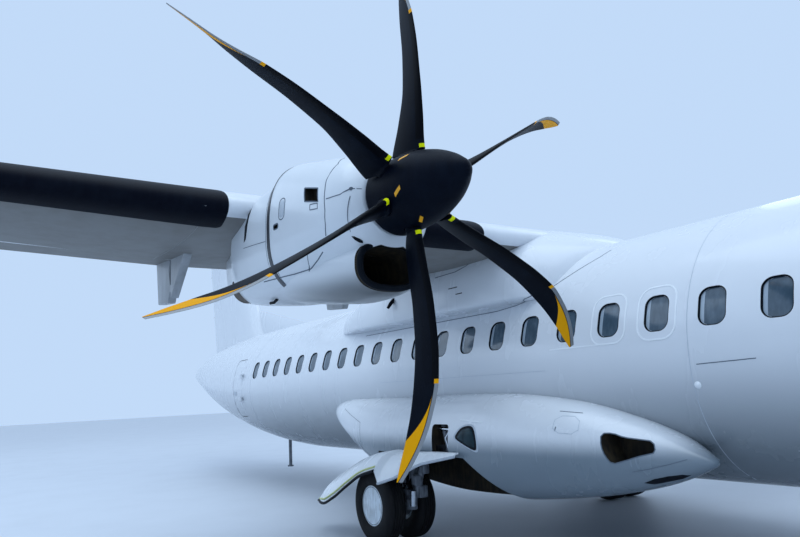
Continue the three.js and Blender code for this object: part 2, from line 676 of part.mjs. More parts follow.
const nacelleRows = [
  [8790, 3425, 2836, 3131, 292, 2, 2],
  [8900, 3480, 2755, 3115, 370, 2.2, 2.1],
  [9200, 3590, 2640, 3090, 465, 2.3, 2.3],
  [9580, 3665, 2570, 3090, 505, 2.4, 2.5],
  [10280, 3710, 2555, 3100, 525, 2.5, 2.6],
  [10980, 3715, 2645, 3120, 455, 2.5, 2.5],
  [11380, 3690, 2705, 3150, 320, 2.4, 2.4],
  [11800, 3620, 2790, 3200, 190, 2.2, 2.2],
  [12300, 3500, 2960, 3250, 60, 2, 2],
];
// The chin duct bulges below the cowl, with an oval intake at its front
const chinRows = [
  [8903, 2846, 2485, 2666, 268, 2.6, 2.6],
  [9040, 2872, 2458, 2668, 310, 2.5, 2.5],
  [9300, 2890, 2452, 2680, 362, 2.4, 2.4],
  [9700, 2890, 2492, 2700, 400, 2.3, 2.4],
  [10280, 2880, 2572, 2740, 360, 2.2, 2.2],
];
const INTAKE = { front: 8903, back: 9120, z: 2666, half: 236, high: 148, narrow: 0.8 };
const ENGINE = { length: 1880, width: 560, height: 600, nose: 9150, z: 3090, room: 12 };
const SHAFT = { radius: 80, room: 95 };
const EXHAUST = { radius: 150, wall: 12, from: [11060, 2920], to: [11450, 2875], out: 140, trough: 420 };

const exhaustPipe = (side, radius, extra) => {
  const y = side * (PROP.y + EXHAUST.out);
  const [from, to] = [EXHAUST.from, EXHAUST.to].map(([station, z]) => point(at(station), y, z));
  const along = to.clone().sub(from).normalize();
  return bar(from, to.clone().addScaledVector(along, extra), radius, radius, 14);
};

const oval = (x, y, z, half, high) => Array.from({ length: 16 }, (_, i) => {
  const angle = (i * Math.PI) / 8;
  const round = (value) => Math.sign(value) * Math.abs(value) ** 0.8;
  return point(x, y + half * round(Math.cos(angle)), z + high * round(Math.sin(angle)));
});

const makeNacelles = () => Object.entries(SIDES).forEach(([hand, side]) => {
  const y = side * PROP.y;
  const nacelle = new Hull(HULL_COLUMNS, nacelleRows, y, 24);
  const chin = new Hull(HULL_COLUMNS, chinRows, y, 16);
  const shell = join(
    nacelle.solid(nacelleRows.map(([station]) => station)), chin.solid(chinRows.map(([station]) => station)),
  );
  const { front, back, z: middle, half, high, narrow } = INTAKE;
  const intake = loft([
    oval(at(front) + 20, y, middle, half, high), oval(at(back), y, middle, half * narrow, high * narrow),
  ]);
  const { length, width, height, nose, z } = ENGINE;
  const block = box(at(nose + length), at(nose), ...engineSpan(side, width / 2), z - height / 2, z + height / 2);
  const shaftHole = bar(point(at(nose) - 50, y, PROP.z), point(at(8600), y, PROP.z), SHAFT.room);
  const wing = wingSkin([side * 3000, side * (WING.breakY - GAP / 2), side * 5200], GAP);
  const solid = cut(shell, wing, engineRoom(side), shaftHole, exhaustPipe(side, EXHAUST.radius + GAP, EXHAUST.trough), intake);
  addMesh(`nacelle_${hand}`, largest(solid), WHITE);
  addMesh(`engine_${hand}`, block, STEEL);
  const pipe = cut(
    exhaustPipe(side, EXHAUST.radius, 0).translate(-1, 0, 0),
    exhaustPipe(side, EXHAUST.radius - EXHAUST.wall, 60).translate(-60, 0, 0),
  );
  addMesh(`exhaust_${hand}`, largest(pipe), BLACK);
});

// Propellers, drawn about the hub centre
const BLADE_COLUMNS = ['radius', 'chord', 'thick', 'sweep', 'twist'];
const BLADE_TABLE = [
  [150, 124, 124, 0, 20],
  [276, 124, 118, 0, 20],
  [294, 300, 74, -12, 17],
  [550, 269, 52, 27, 6],
  [800, 236, 36, 66, -2],
  [1050, 231, 27, 74, -6.5],
  [1300, 229, 21, 50, -11],
  [1500, 190, 15, 0, -18],
  [1700, 143, 10, -68, -26],
  [1850, 98, 7, -138, -27],
  [PROP.radius, 46, 5, -198, -27],
];

const bladeRing = (row, turn) => {
  const { radius, chord, thick, sweep, twist } = Object.fromEntries(BLADE_COLUMNS.map((name, i) => [name, row[i]]));
  const radial = point(0, Math.sin(turn), Math.cos(turn));
  const ahead = point(0, -Math.cos(turn), Math.sin(turn));
  const pitch = radians(90 + twist);
  const chordWay = ahead.multiplyScalar(Math.cos(pitch)).add(point(Math.sin(pitch), 0, 0));
  const flatWay = chordWay.clone().cross(radial);
  const count = 4;
  return Array.from({ length: 2 * count }, (_, i) => {
    const angle = (Math.PI * i) / count;
    const round = thick === chord ? 1 : 0.9 - 0.25 * Math.cos(angle);
    const along = -(chord / 2) * Math.cos(angle) + sweep;
    const across = (thick / 2) * Math.sin(angle) * round;
    return radial.clone().multiplyScalar(radius).addScaledVector(chordWay, along).addScaledVector(flatWay, across);
  });
};

const SPINNER = { back: -178, plate: 16, rim: 268, hub: 180, hubNose: 190, hole: 76 };
const spinnerRows = [[272, -178], [268, 0], [252, 170], [206, 342], [145, 478], [75, 580], [0, 638]];

// Lathe about X from [radius, x] rows
const turnedX = (profile, facets) => {
  const geometry = new THREE.LatheGeometry(profile.map(([radius, x]) => new THREE.Vector2(radius, x)), facets);
  return toSolid(geometry.rotateZ(-Math.PI / 2));
};

const makePropellers = () => Object.entries(SIDES).forEach(([hand, side]) => {
  const holder = placed(`propulsion_${hand}`, at(PROP.station), side * PROP.y, PROP.z);
  const turns = Array.from({ length: PROP.blades }, (_, k) => radians(PROP.phase + (360 / PROP.blades) * k));
  const blades = turns.map((turn) => loft(BLADE_TABLE.map((row) => bladeRing(row, turn))));
  const engineFace = at(ENGINE.nose) - at(PROP.station) + GAP;
  const hub = join(
    bar(point(SPINNER.back - SPINNER.plate - GAP, 0, 0), point(SPINNER.back - GAP, 0, 0), SPINNER.rim, SPINNER.rim, 20),
    bar(point(SPINNER.back - 20, 0, 0), point(SPINNER.hubNose, 0, 0), SPINNER.hub),
    bar(point(engineFace, 0, 0), point(SPINNER.back, 0, 0), SHAFT.radius),
  );
  addMesh(`propeller_${hand}`, join(hub, ...blades), BLACK, holder);
  const hollow = turnedX([[0, SPINNER.back - 30], [258, SPINNER.back - 30], [255, 0], [192, 342], [0, 600]], 16);
  const outer = turnedX([[0, SPINNER.back], ...spinnerRows], 24);
  const holes = turns.map((turn) => bar(
    point(0, 0, 0), point(0, 420 * Math.sin(turn), 420 * Math.cos(turn)), SPINNER.hole, SPINNER.hole, 8,
  ));
  addMesh(`spinner_${hand}`, largest(cut(outer, hollow, ...holes)), BLACK, holder);
});

// Fin and rudder, sections level at each height
const finAt = (z) => {
  const k = (z - FIN.foot) / (FIN.top - FIN.foot);
  return {
    lead: THREE.MathUtils.lerp(FIN.lead, FIN.topLead, k),
    chord: THREE.MathUtils.lerp(FIN.footChord, FIN.topChord, k),
    ratio: FIN.ratio,
  };
};

const finLoft = (zs, loopAt) => loft(zs.map((z) => loopAt(finAt(z)).map(
  ([aft, up]) => point(at(finAt(z).lead + aft), up, z),
)));

// A rudder on a slanting hinge rises as it turns, so its top has extra room
const RUDDER = { low: 3060, high: 7060, pin: 14, clear: 45, rise: 36 };
const rudderAxis = () => [RUDDER.low, RUDDER.high].map((z) => {
  const { lead, chord } = finAt(z);
  return point(at(lead + FIN.hinge * chord), 0, z);
});

// Dorsal fin ahead of the main fin, from its [station, height] corners
const dorsalFin = () => {
  const shape = new THREE.Shape([
    new THREE.Vector2(at(18560), 3365), new THREE.Vector2(at(21500), 4010), new THREE.Vector2(at(21850), 4080),
    new THREE.Vector2(at(22600), 4080), new THREE.Vector2(at(22600), 3100), new THREE.Vector2(at(18560), 3200),
  ]);
  return sidePrism(shape, -55, 55);
};

const bullet = new Hull(HULL_COLUMNS, [
  [23480, 7420, 7360, 7390, 35, 2, 2],
  [23800, 7530, 7230, 7385, 130, 2, 2],
  [24300, 7610, 7165, 7380, 190, 2, 2],
  [24900, HEIGHT, 7150, 7375, 205, 2, 2],
  [25700, 7635, 7155, 7375, 195, 2, 2],
  [26400, 7530, 7230, 7370, 130, 2, 2],
  [26900, 7400, 7340, 7370, 35, 2, 2],
], 0, 12);
const BULLET_STATIONS = [23480, 23800, 24300, 24900, 25700, 26400, 26900];

const tailAt = (y) => {
  const k = Math.abs(y) / TAIL.half;
  return {
    lead: THREE.MathUtils.lerp(TAIL.lead, TAIL.tipLead, k),
    chord: THREE.MathUtils.lerp(TAIL.chord, TAIL.tipChord, k),
    ratio: TAIL.ratio,
  };
};

const tailLoft = (ys, loopAt) => loft(ys.map((y) => loopAt(tailAt(y)).map(
  ([aft, up]) => point(at(tailAt(y).lead + aft), y, TAIL.z + up),
)));

const ELEVATOR = { span: [240, 3480], pin: 9 };
const elevatorAxis = (side) => ELEVATOR.span.map((y) => {
  const { lead, chord } = tailAt(y);
  return point(at(lead + TAIL.hinge * chord), side * y, TAIL.z);
});

const makeTail = () => {
  const [low, high] = rudderAxis();
  const upwards = high.clone().sub(low).normalize();
  const stretch = 1 / upwards.z;
  const rudderBay = finLoft([RUDDER.low - 200, RUDDER.high + RUDDER.rise], ({ chord, ratio }) => (
    bayLoop(chord, hingeCircle(chord, ratio, 0, FIN.hinge), CLEAR, stretch)
  ));
  const finSkin = finLoft([FIN.foot, FIN.top], ({ chord, ratio }) => foilLoop(chord, ratio, 0, 10));
  const pin = (radius, reach) => bar(
    high.clone().addScaledVector(upwards, -80), high.clone().addScaledVector(upwards, reach), radius,
  );
  const fin = cut(
    join(finSkin, dorsalFin()), rudderBay, body(18000, 26500, GAP), bullet.solid(BULLET_STATIONS, GAP),
    pin(RUDDER.pin + 0.5, RUDDER.rise + 34),
  );
  addMesh('fin', largest(fin), WHITE);
  const rudderSkin = finLoft([RUDDER.low - 150, RUDDER.high], ({ chord, ratio }) => (
    surfaceLoop(chord, ratio, 0, FIN.hinge, stretch)
  ));
  addMesh('rudder', largest(join(cut(rudderSkin, body(18000, 26900, RUDDER.clear)), pin(RUDDER.pin, RUDDER.rise + 30))), WHITE);
  const skin = (ys, growth = 0) => tailLoft(ys, ({ chord, ratio }) => grown(foilLoop(chord, ratio, 0, 8), growth));
  const half = TAIL.half - 160;
  const bays = Object.values(SIDES).flatMap((side) => {
    const [start, end] = elevatorAxis(side);
    return [
      tailLoft([side * (ELEVATOR.span[0] - CLEAR), side * (ELEVATOR.span[1] + CLEAR)], ({ chord, ratio }) => (
        bayLoop(chord, hingeCircle(chord, ratio, 0, TAIL.hinge), CLEAR)
      )),
      ...pinsAlong(start, end, CLEAR + 34, ELEVATOR.pin + 0.5),
    ];
  });
  const ends = [-1, 1].map((side) => tailLoft([side * half, side * TAIL.half], ({ chord, ratio }) => (
    foilLoop(chord, ratio, 0, 8)
  )));
  addMesh('tailplane', largest(cut(join(skin([-half, 0, half]), ...ends), ...bays)), WHITE);
  addMesh('fin_bullet', largest(cut(
    bullet.solid(BULLET_STATIONS), skin([-700, 0, 700], GAP),
    tailLoft([-ELEVATOR.span[0] - 50, -ELEVATOR.span[0] + CLEAR], ({ chord, ratio }) => bayLoop(chord, hingeCircle(chord, ratio, 0, TAIL.hinge), CLEAR)),
  )), WHITE);
  Object.entries(SIDES).forEach(([hand, side]) => {
    const [start, end] = elevatorAxis(side);
    const surface = tailLoft(ELEVATOR.span.map((y) => side * y), ({ chord, ratio }) => (
      surfaceLoop(chord, ratio, 0, TAIL.hinge)
    ));
    addMesh(`elevator_${hand}`, join(surface, ...pinsAlong(start, end, CLEAR + 30, ELEVATOR.pin)), WHITE);
  });
};

// Landing gear

const tyreProfile = ({ radius, width, rim }) => {
  const half = width / 2;
  const wall = radius - rim;
  return [
    [rim, -half * 0.74], [rim + wall * 0.4, -half], [rim + wall * 0.8, -half * 0.94], [radius, -half * 0.6],
    [radius, half * 0.6], [rim + wall * 0.8, half * 0.94], [rim + wall * 0.4, half], [rim, half * 0.74],
    [rim, -half * 0.74],
  ];
};

const hubSolid = ({ rim, width, spread }, axle) => {
  const half = width * 0.36;
  const discs = [-spread, spread].map((y) => turned([
    [0, y - half], [rim - GAP, y - half], [rim - GAP, y + half], [0, y + half],
  ], 24));
  return join(...discs, bar(point(0, -spread, 0), point(0, spread, 0), axle, axle, AXLE.facets));
};

const AXLE = { main: 42, nose: 24, play: 0.5, facets: 24 };

const mainLeg = (side, growth = 0) => {
  const [x, y, z] = [at(MAIN_WHEEL.station), side * MAIN_WHEEL.y, MAIN_WHEEL.radius];
  const roof = WELL.roof - GAP;
  const root = side * 1420;
  const limb = (from, to, radius) => {
    const extra = to.clone().sub(from).setLength(growth);
    return bar(from.clone().sub(extra), to.clone().add(extra), radius + growth, radius + growth, 10);
  };
  const leg = join(
    limb(point(x, y - 72, z), point(x, y + 72, z), 82),
    limb(point(x, y, z), point(x, y, 1040), 72),
    limb(point(x, root, 1000), point(x, y + side * 60, 925), 50),
    limb(point(x + 380, root, 1000), point(x + 40, y, 930), 42),
    limb(point(x - 380, root, 1000), point(x - 40, y, 920), 50),
    box(x - 430 - growth, x + 430 + growth, side * (1330 - growth), side * (1520 + growth), roof - 130 - growth, roof),
  );
  const bore = AXLE.main + AXLE.play;
  return cut(leg, bar(point(x, y - 90, z), point(x, y + 90, z), bore, bore, AXLE.facets));
};

// Curved gear door that stands over the wheels. Each row gives a place along X, measured from
// the axle, then the distance outboard and the height of its inner edge and of its outer edge.
const GEAR_DOOR = [
  [-1490, 2150, 450, 2350, 350],
  [-1180, 2050, 680, 2450, 355],
  [-820, 2030, 830, 2480, 460],
  [-420, 2020, 960, 2490, 640],
  [-70, 2000, 1020, 2490, 790],
  [260, 2000, 1050, 2490, 870],
  [340, 2000, 1050, 2490, 730],
  [580, 1980, 1055, 2420, 800],
  [830, 1960, 1060, 2220, 950],
  [1180, 1930, 1065, 1990, 1030],
];
const DOOR_PLATE = { bulge: 0.2, thickness: 18 };

const gearDoor = (side) => loft(GEAR_DOOR.map(([along, innerY, innerZ, outerY, outerZ]) => {
  const inner = new THREE.Vector2(innerY, innerZ);
  const chord = new THREE.Vector2(outerY, outerZ).sub(inner);
  const proud = new THREE.Vector2(-chord.y, chord.x).multiplyScalar(DOOR_PLATE.bulge);
  const inward = proud.clone().setLength(-DOOR_PLATE.thickness);
  const outside = [0, 0.2, 0.4, 0.6, 0.8, 1].map((t) => (
    inner.clone().addScaledVector(chord, t).addScaledVector(proud, 4 * t * (1 - t))
  ));
  const inside = outside.toReversed().map((spot) => spot.clone().add(inward));
  return [...outside, ...inside].map((spot) => point(at(MAIN_WHEEL.station) + along, side * spot.x, spot.y));
}));

const makeMainGear = () => Object.entries(SIDES).forEach(([hand, side]) => {
  const { station, y, radius, spread } = MAIN_WHEEL;
  const door = gearDoor(side);
  const leg = mainLeg(side);
  addMesh(`main_leg_${hand}`, leg, STEEL);
  addMesh(`main_gear_door_${hand}`, largest(cut(door, mainLeg(side, GAP))), WHITE);
  const holder = placed(`main_wheels_${hand}`, at(station), side * y, radius);
  addMesh(`main_hubs_${hand}`, hubSolid(MAIN_WHEEL, AXLE.main), WHITE, holder);
  [['inner', -side * spread], ['outer', side * spread]].forEach(([place, shift]) => {
    const tyre = turned(tyreProfile(MAIN_WHEEL).map(([r, v]) => [r, v + shift]), 24);
    addMesh(`main_tyre_${place}_${hand}`, tyre, RUBBER, holder);
  });
});

const NOSE_LEG = { barrel: 62, collar: 570, fork: 46 };

const makeNoseGear = () => {
  const x = at(NOSE_WHEEL.station);
  const { radius, spread } = NOSE_WHEEL;
  const leg = join(
    bar(point(x, 0, NOSE_LEG.collar), point(x, 0, BAY.roof - GAP), NOSE_LEG.barrel),
    bar(point(x + 60, 0, 800), point(x + 420, 0, BAY.roof - 60), 34),
    box(x + 340, x + 460, -110, 110, BAY.roof - 110, BAY.roof - GAP),
  );
  addMesh('nose_leg', leg, STEEL);
  const fork = cut(
    join(
      bar(point(x, 0, radius), point(x, 0, NOSE_LEG.collar - GAP), NOSE_LEG.fork),
      bar(point(x, 0, NOSE_LEG.collar - 90), point(x, 0, NOSE_LEG.collar - GAP), 80),
      bar(point(x, -86, radius), point(x, 86, radius), 52),
      box(x + 20, x + 120, -35, 35, 295, 365),
    ),
    bar(point(x, -100, radius), point(x, 100, radius), AXLE.nose + AXLE.play, AXLE.nose + AXLE.play, AXLE.facets),
  );
  addMesh('nose_fork', fork, STEEL);
  const holder = placed('nose_wheels', x, 0, radius);
  addMesh('nose_hubs', hubSolid(NOSE_WHEEL, AXLE.nose), WHITE, holder);
  Object.entries(SIDES).forEach(([hand, side]) => {
    const tyre = turned(tyreProfile(NOSE_WHEEL).map(([r, v]) => [r, v + side * spread]), 24);
    addMesh(`nose_tyre_${hand}`, tyre, RUBBER, holder);
    const edge = side * (BAY.half - 9 - GAP);
    const door = box(at(BAY.to) + 60, at(BAY.from) - 60, edge - 9, edge + 9, 620, 1010);
    addMesh(`nose_gear_door_${hand}`, door, WHITE);
  });
};

// Safety stand under the tail
const STAND = { station: 19890, foot: 190, radius: 38 };

const makeStand = () => {
  const x = at(STAND.station);
  const pole = join(
    bar(point(x, 0, STAND.foot), point(x, 0, 1300), STAND.radius, STAND.radius, 10),
    bar(point(x, 0, STAND.foot), point(x, 0, STAND.foot + 30), 70, 70, 10),
    box(x - 110, x + 110, -90, 90, 900, 1300),
  );
  addMesh('tail_stand', largest(cut(pole, body(18800, 21000, GAP))), STEEL);
};

makeFuselage();
makeWing();
makeFairing();
makePods();
makeNacelles();
makePropellers();
makeTail();
makeMainGear();
makeNoseGear();
makeStand();

export default group;
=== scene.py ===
import math

import bpy
import bmesh
import numpy as np
from mathutils import Matrix, Vector


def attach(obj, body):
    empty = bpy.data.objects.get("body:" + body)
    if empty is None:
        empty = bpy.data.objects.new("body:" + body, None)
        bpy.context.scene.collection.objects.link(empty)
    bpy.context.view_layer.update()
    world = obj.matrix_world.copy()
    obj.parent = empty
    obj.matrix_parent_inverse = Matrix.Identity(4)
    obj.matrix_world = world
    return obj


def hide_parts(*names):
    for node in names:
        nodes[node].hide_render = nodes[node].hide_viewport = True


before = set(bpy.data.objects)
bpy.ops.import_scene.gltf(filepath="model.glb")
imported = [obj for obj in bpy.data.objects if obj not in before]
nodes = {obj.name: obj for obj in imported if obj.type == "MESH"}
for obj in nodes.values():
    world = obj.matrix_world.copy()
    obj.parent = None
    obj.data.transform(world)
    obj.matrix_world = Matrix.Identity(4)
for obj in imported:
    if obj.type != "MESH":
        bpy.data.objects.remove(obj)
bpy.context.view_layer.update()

sides = {"left": 1, "right": -1}
noseX = 13.583  # the nose's place along X; tables below give millimetres aft of it
mm = 0.001


# numbers and loops
def aft(station):
    return noseX - station * mm


def smoothTable(rows, where):
    # smooth values between the rows of a table with no overshoot, the first column leads
    rows = np.asarray(rows, float)
    at, values = rows[:, 0], rows[:, 1:]
    step = np.diff(at)
    slope = np.diff(values, axis=0) / step[:, None]
    ends = np.zeros_like(values)
    ends[0], ends[-1] = slope[0], slope[-1]
    before, after = slope[:-1], slope[1:]
    with np.errstate(divide="ignore", invalid="ignore"):
        ends[1:-1] = np.where(before * after > 0, 2 * before * after / (before + after), 0)
    where = np.clip(np.atleast_1d(np.asarray(where, float)), at[0], at[-1])
    i = np.clip(np.searchsorted(at, where, "left"), 1, len(at) - 1)
    span = (at[i] - at[i - 1])[:, None]
    t = (where - at[i - 1])[:, None] / span
    return ((2 * t**3 - 3 * t**2 + 1) * values[i - 1] + (t**3 - 2 * t**2 + t) * span * ends[i - 1]
            + (3 * t**2 - 2 * t**3) * values[i] + (t**3 - t**2) * span * ends[i])


def hullLoop(values, middleY, facets, grow=0.0):
    # closed loop of (y, z) in metres from top, bottom, widest height, half width and squareness
    top, bottom, wide, half, upper, lower = values
    angle = np.arange(facets) * 2 * np.pi / facets
    c, s = np.cos(angle), np.sin(angle)
    power = 2 / np.where(s >= 0, upper, lower)
    height = np.where(s >= 0, top - wide + grow, wide - bottom + grow)
    y = middleY + (half + grow) * np.sign(c) * np.abs(c) ** power
    z = wide + height * np.sign(s) * np.abs(s) ** power
    return np.stack([y, z], 1) * mm


def hullRings(rows, stations, middleY, facets, grow=0.0):
    rings = []
    for station, values in zip(stations, smoothTable(rows, stations)):
        loop = hullLoop(values, middleY, facets, grow)
        rings.append(np.column_stack([np.full(facets, aft(station)), loop]))
    return np.array(rings)


def spread(stops, step):
    # places between stops, about one step apart, the stops themselves kept
    out = []
    for a, b in zip(stops[:-1], stops[1:]):
        out += list(np.linspace(a, b, max(1, round(abs(b - a) / step)), endpoint=False))
    return np.array(out + [stops[-1]])


# meshes
def linked(name, data):
    obj = bpy.data.objects.new(name, data)
    bpy.context.scene.collection.objects.link(obj)
    return obj


def makeObject(name, vertices, faces, materials, faceMaterial=None, angle=32):
    mesh = bpy.data.meshes.new(name)
    mesh.from_pydata([tuple(v) for v in vertices], [], [tuple(int(i) for i in f) for f in faces])
    for material in materials:
        mesh.materials.append(material)
    if faceMaterial is not None:
        mesh.polygons.foreach_set("material_index", np.asarray(faceMaterial, np.int32))
    mesh.validate()
    obj = linked(name, mesh)
    outward(obj)
    soften(obj, angle)
    return obj


def outward(obj, weld=False):
    work = bmesh.new()
    work.from_mesh(obj.data)
    if weld:
        bmesh.ops.remove_doubles(work, verts=work.verts, dist=1e-6)
    bmesh.ops.recalc_face_normals(work, faces=work.faces)
    work.to_mesh(obj.data)
    work.free()


def soften(obj, angle=32):
    obj.data.polygons.foreach_set("use_smooth", [True] * len(obj.data.polygons))
    obj.data.set_sharp_from_angle(angle=math.radians(angle))


def loftFaces(rows, count, closed=True):
    faces = []
    last = count if closed else count - 1
    for r in range(rows - 1):
        for k in range(last):
            n = (k + 1) % count
            faces.append((r * count + k, r * count + n, (r + 1) * count + n, (r + 1) * count + k))
    return faces


def loftObject(name, rings, materials, faceMaterial=None, angle=32, caps=True):
    rings = np.asarray(rings, float)
    rows, count = rings.shape[:2]
    faces = loftFaces(rows, count)
    marks = list(faceMaterial(rows, count)) if callable(faceMaterial) else [0] * len(faces)
    if caps:
        faces += [tuple(range(count))[::-1], tuple(range((rows - 1) * count, rows * count))]
        marks += [marks[0], marks[-1]]
    return makeObject(name, rings.reshape(-1, 3), faces, materials, marks, angle)


def sheetObject(name, grid, thickness, materials, angle=40):
    # a curved plate: an outer grid of points and the same grid moved inwards
    grid = np.asarray(grid, float)
    rows, count = grid.shape[:2]
    du = np.gradient(grid, axis=0)
    dv = np.gradient(grid, axis=1)
    normal = np.cross(du, dv)
    normal /= np.linalg.norm(normal, axis=2, keepdims=True) + 1e-12
    inner = grid - normal * thickness
    points = np.concatenate([grid.reshape(-1, 3), inner.reshape(-1, 3)])
    total = rows * count
    faces = []
    for r in range(rows - 1):
        for k in range(count - 1):
            a, b, c, d = r * count + k, r * count + k + 1, (r + 1) * count + k + 1, (r + 1) * count + k
            faces += [(a, b, c, d), (a + total, d + total, c + total, b + total)]
    edge = ([(0, k) for k in range(count - 1)] + [(r, count - 1) for r in range(rows - 1)]
            + [(rows - 1, k) for k in range(count - 1, 0, -1)] + [(r, 0) for r in range(rows - 1, 0, -1)])
    flat = [r * count + k for r, k in edge]
    for a, b in zip(flat, flat[1:] + flat[:1]):
        faces.append((a, a + total, b + total, b))
    return makeObject(name, points, faces, materials, None, angle)


def latheObject(name, profile, axis, centre, facets, materials, bands=None, angle=32, hollow=False):
    # profile rows are (radius, place along the axis); axis is "x", "y" or "z"; a hollow one is a closed ring
    profile = np.asarray(profile, float)
    turn = np.arange(facets) * 2 * np.pi / facets
    rings = []
    for radius, along in profile:
        a, b = radius * np.cos(turn), radius * np.sin(turn)
        w = np.full(facets, along)
        rings.append(np.stack({"x": (w, a, b), "y": (a, w, b), "z": (a, b, w)}[axis], 1) + np.array(centre))
    marks = None
    if bands:
        marks = lambda rows, count: [bands[r] for r in range(rows - 1) for _ in range(count)]
    piece = loftObject(name, rings, materials, marks, angle, not hollow)
    return merged(piece, angle) if hollow else piece


def drum(name, radius, start, end, axis, centre, facets, material):
    # a plain round bar with flat ends
    return latheObject(name, [(0.0, start), (radius, start), (radius, end), (0.0, end)], axis, centre, facets,
                       [material])


def merged(obj, angle=32):
    outward(obj, True)
    soften(obj, angle)
    return obj


def tubeObject(name, path, radius, facets, materials, angle=50):
    # round tube along a path; radius is one number or one for each point
    path = np.asarray(path, float)
    radii = np.broadcast_to(np.asarray(radius, float), len(path))
    along = np.gradient(path, axis=0)
    along /= np.linalg.norm(along, axis=1, keepdims=True)
    up = np.array([0, 0, 1.0]) if abs(along[0][2]) < 0.9 else np.array([0, 1.0, 0])
    rings, turn = [], np.arange(facets) * 2 * np.pi / facets
    for p, t, r in zip(path, along, radii):
        side = np.cross(up, t)
        side /= np.linalg.norm(side)
        up = np.cross(t, side)
        rings.append(p + r * (np.cos(turn)[:, None] * side + np.sin(turn)[:, None] * up))
    return loftObject(name, rings, materials, None, angle)


def roundedLoop(x0, x1, z0, z1, radius, steps=6):
    points = []
    for cx, cz, start in ((x1 - radius, z0 + radius, -90), (x1 - radius, z1 - radius, 0),
                          (x0 + radius, z1 - radius, 90), (x0 + radius, z0 + radius, 180)):
        for i in range(steps + 1):
            a = math.radians(start + 90 * i / steps)
            points.append((cx + radius * math.cos(a), cz + radius * math.sin(a)))
    return np.array(points)


def prismAlongY(name, loop, y0, y1, materials=()):
    rings = [np.column_stack([loop[:, 0], np.full(len(loop), y), loop[:, 1]]) for y in (y0, y1)]
    return loftObject(name, rings, materials)


def boxObject(name, low, high, materials, bevel=0.0):
    x, y, z = zip(low, high)
    points = [(x[i & 1], y[i >> 1 & 1], z[i >> 2 & 1]) for i in range(8)]
    faces = [(0, 2, 3, 1), (4, 5, 7, 6), (0, 1, 5, 4), (2, 6, 7, 3), (0, 4, 6, 2), (1, 3, 7, 5)]
    obj = makeObject(name, points, faces, materials)
    return bevelled(obj, bevel, 2) if bevel else obj


def bake(obj, angle=32):
    # turns the evaluated shape into the plain mesh
    graph = bpy.context.evaluated_depsgraph_get()
    mesh = bpy.data.meshes.new_from_object(obj.evaluated_get(graph))
    obj.modifiers.clear()
    obj.data = mesh
    soften(obj, angle)
    return obj


def bevelled(obj, width, segments):
    modifier = obj.modifiers.new("edge", "BEVEL")
    modifier.width, modifier.segments = width, segments
    return bake(obj)


def joined(name, parts):
    # one object from several, keeping their materials
    work, materials = bmesh.new(), []
    for part in parts:
        first = len(work.faces)
        work.from_mesh(part.data)
        work.faces.ensure_lookup_table()
        slots = list(part.data.materials)
        for material in slots:
            if material not in materials:
                materials.append(material)
        for face in work.faces[first:]:
            if slots:
                face.material_index = materials.index(slots[min(face.material_index, len(slots) - 1)])
        bpy.data.objects.remove(part)
    mesh = bpy.data.meshes.new(name)
    work.to_mesh(mesh)
    work.free()
    for material in materials:
        mesh.materials.append(material)
    return linked(name, mesh)


def carve(obj, cutters, operation="DIFFERENCE", angle=32):
    for cutter in cutters:
        modifier = obj.modifiers.new("carve", "BOOLEAN")
        modifier.operation, modifier.solver, modifier.object = operation, "MANIFOLD", cutter
        bake(obj, angle)
    for cutter in cutters:
        bpy.data.objects.remove(cutter)
    return obj


def settle(obj, body, replaced=()):
    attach(obj, body)
    if replaced:
        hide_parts(*replaced)
    return obj


# shader groups and materials
def addNode(tree, kind, feeds, **settings):
    # a node with its settings; each feed is another node's socket to link, or a plain value
    node = tree.nodes.new(kind)
    for key, value in settings.items():
        setattr(node, key, value)
    for key, value in feeds.items():
        if isinstance(value, bpy.types.NodeSocket):
            tree.links.new(value, node.inputs[key])
        else:
            node.inputs[key].default_value = value
    return node


def mathNode(tree, operation, a, b, clamp=False):
    return addNode(tree, "ShaderNodeMath", {0: a, 1: b}, operation=operation, use_clamp=clamp).outputs[0]


def objectPlace(tree):
    return tree.nodes.new("ShaderNodeTexCoord").outputs["Object"]


def paintOver(tree, base, mask, colour):
    # lays a plain colour over another one where a mask says so
    return addNode(tree, "ShaderNodeMix", {0: mask, 6: base, 7: (*colour, 1)}, data_type="RGBA").outputs[2]


def newTree(name, kind, inputs, outputs):
    # an empty group with named inputs, each a kind of socket and its first value
    tree = bpy.data.node_groups.new(name, kind)
    for label, (socketKind, value) in inputs.items():
        socket = tree.interface.new_socket(label, in_out="INPUT", socket_type="NodeSocket" + socketKind)
        if value is not None:
            socket.default_value = value
    for label, socketKind in outputs.items():
        tree.interface.new_socket(label, in_out="OUTPUT", socket_type="NodeSocket" + socketKind)
    return tree, tree.nodes.new("NodeGroupInput").outputs, tree.nodes.new("NodeGroupOutput").inputs


grimeLook = {"tall": 0.22, "lift": 0.18, "strength": 4.0, "sheen": 0.05}  # tall below 1 draws streaks out downwards
dropLook = {"scale": 70.0, "patches": 0.35, "steep": 6.0, "strength": 0.5, "height": 0.003}


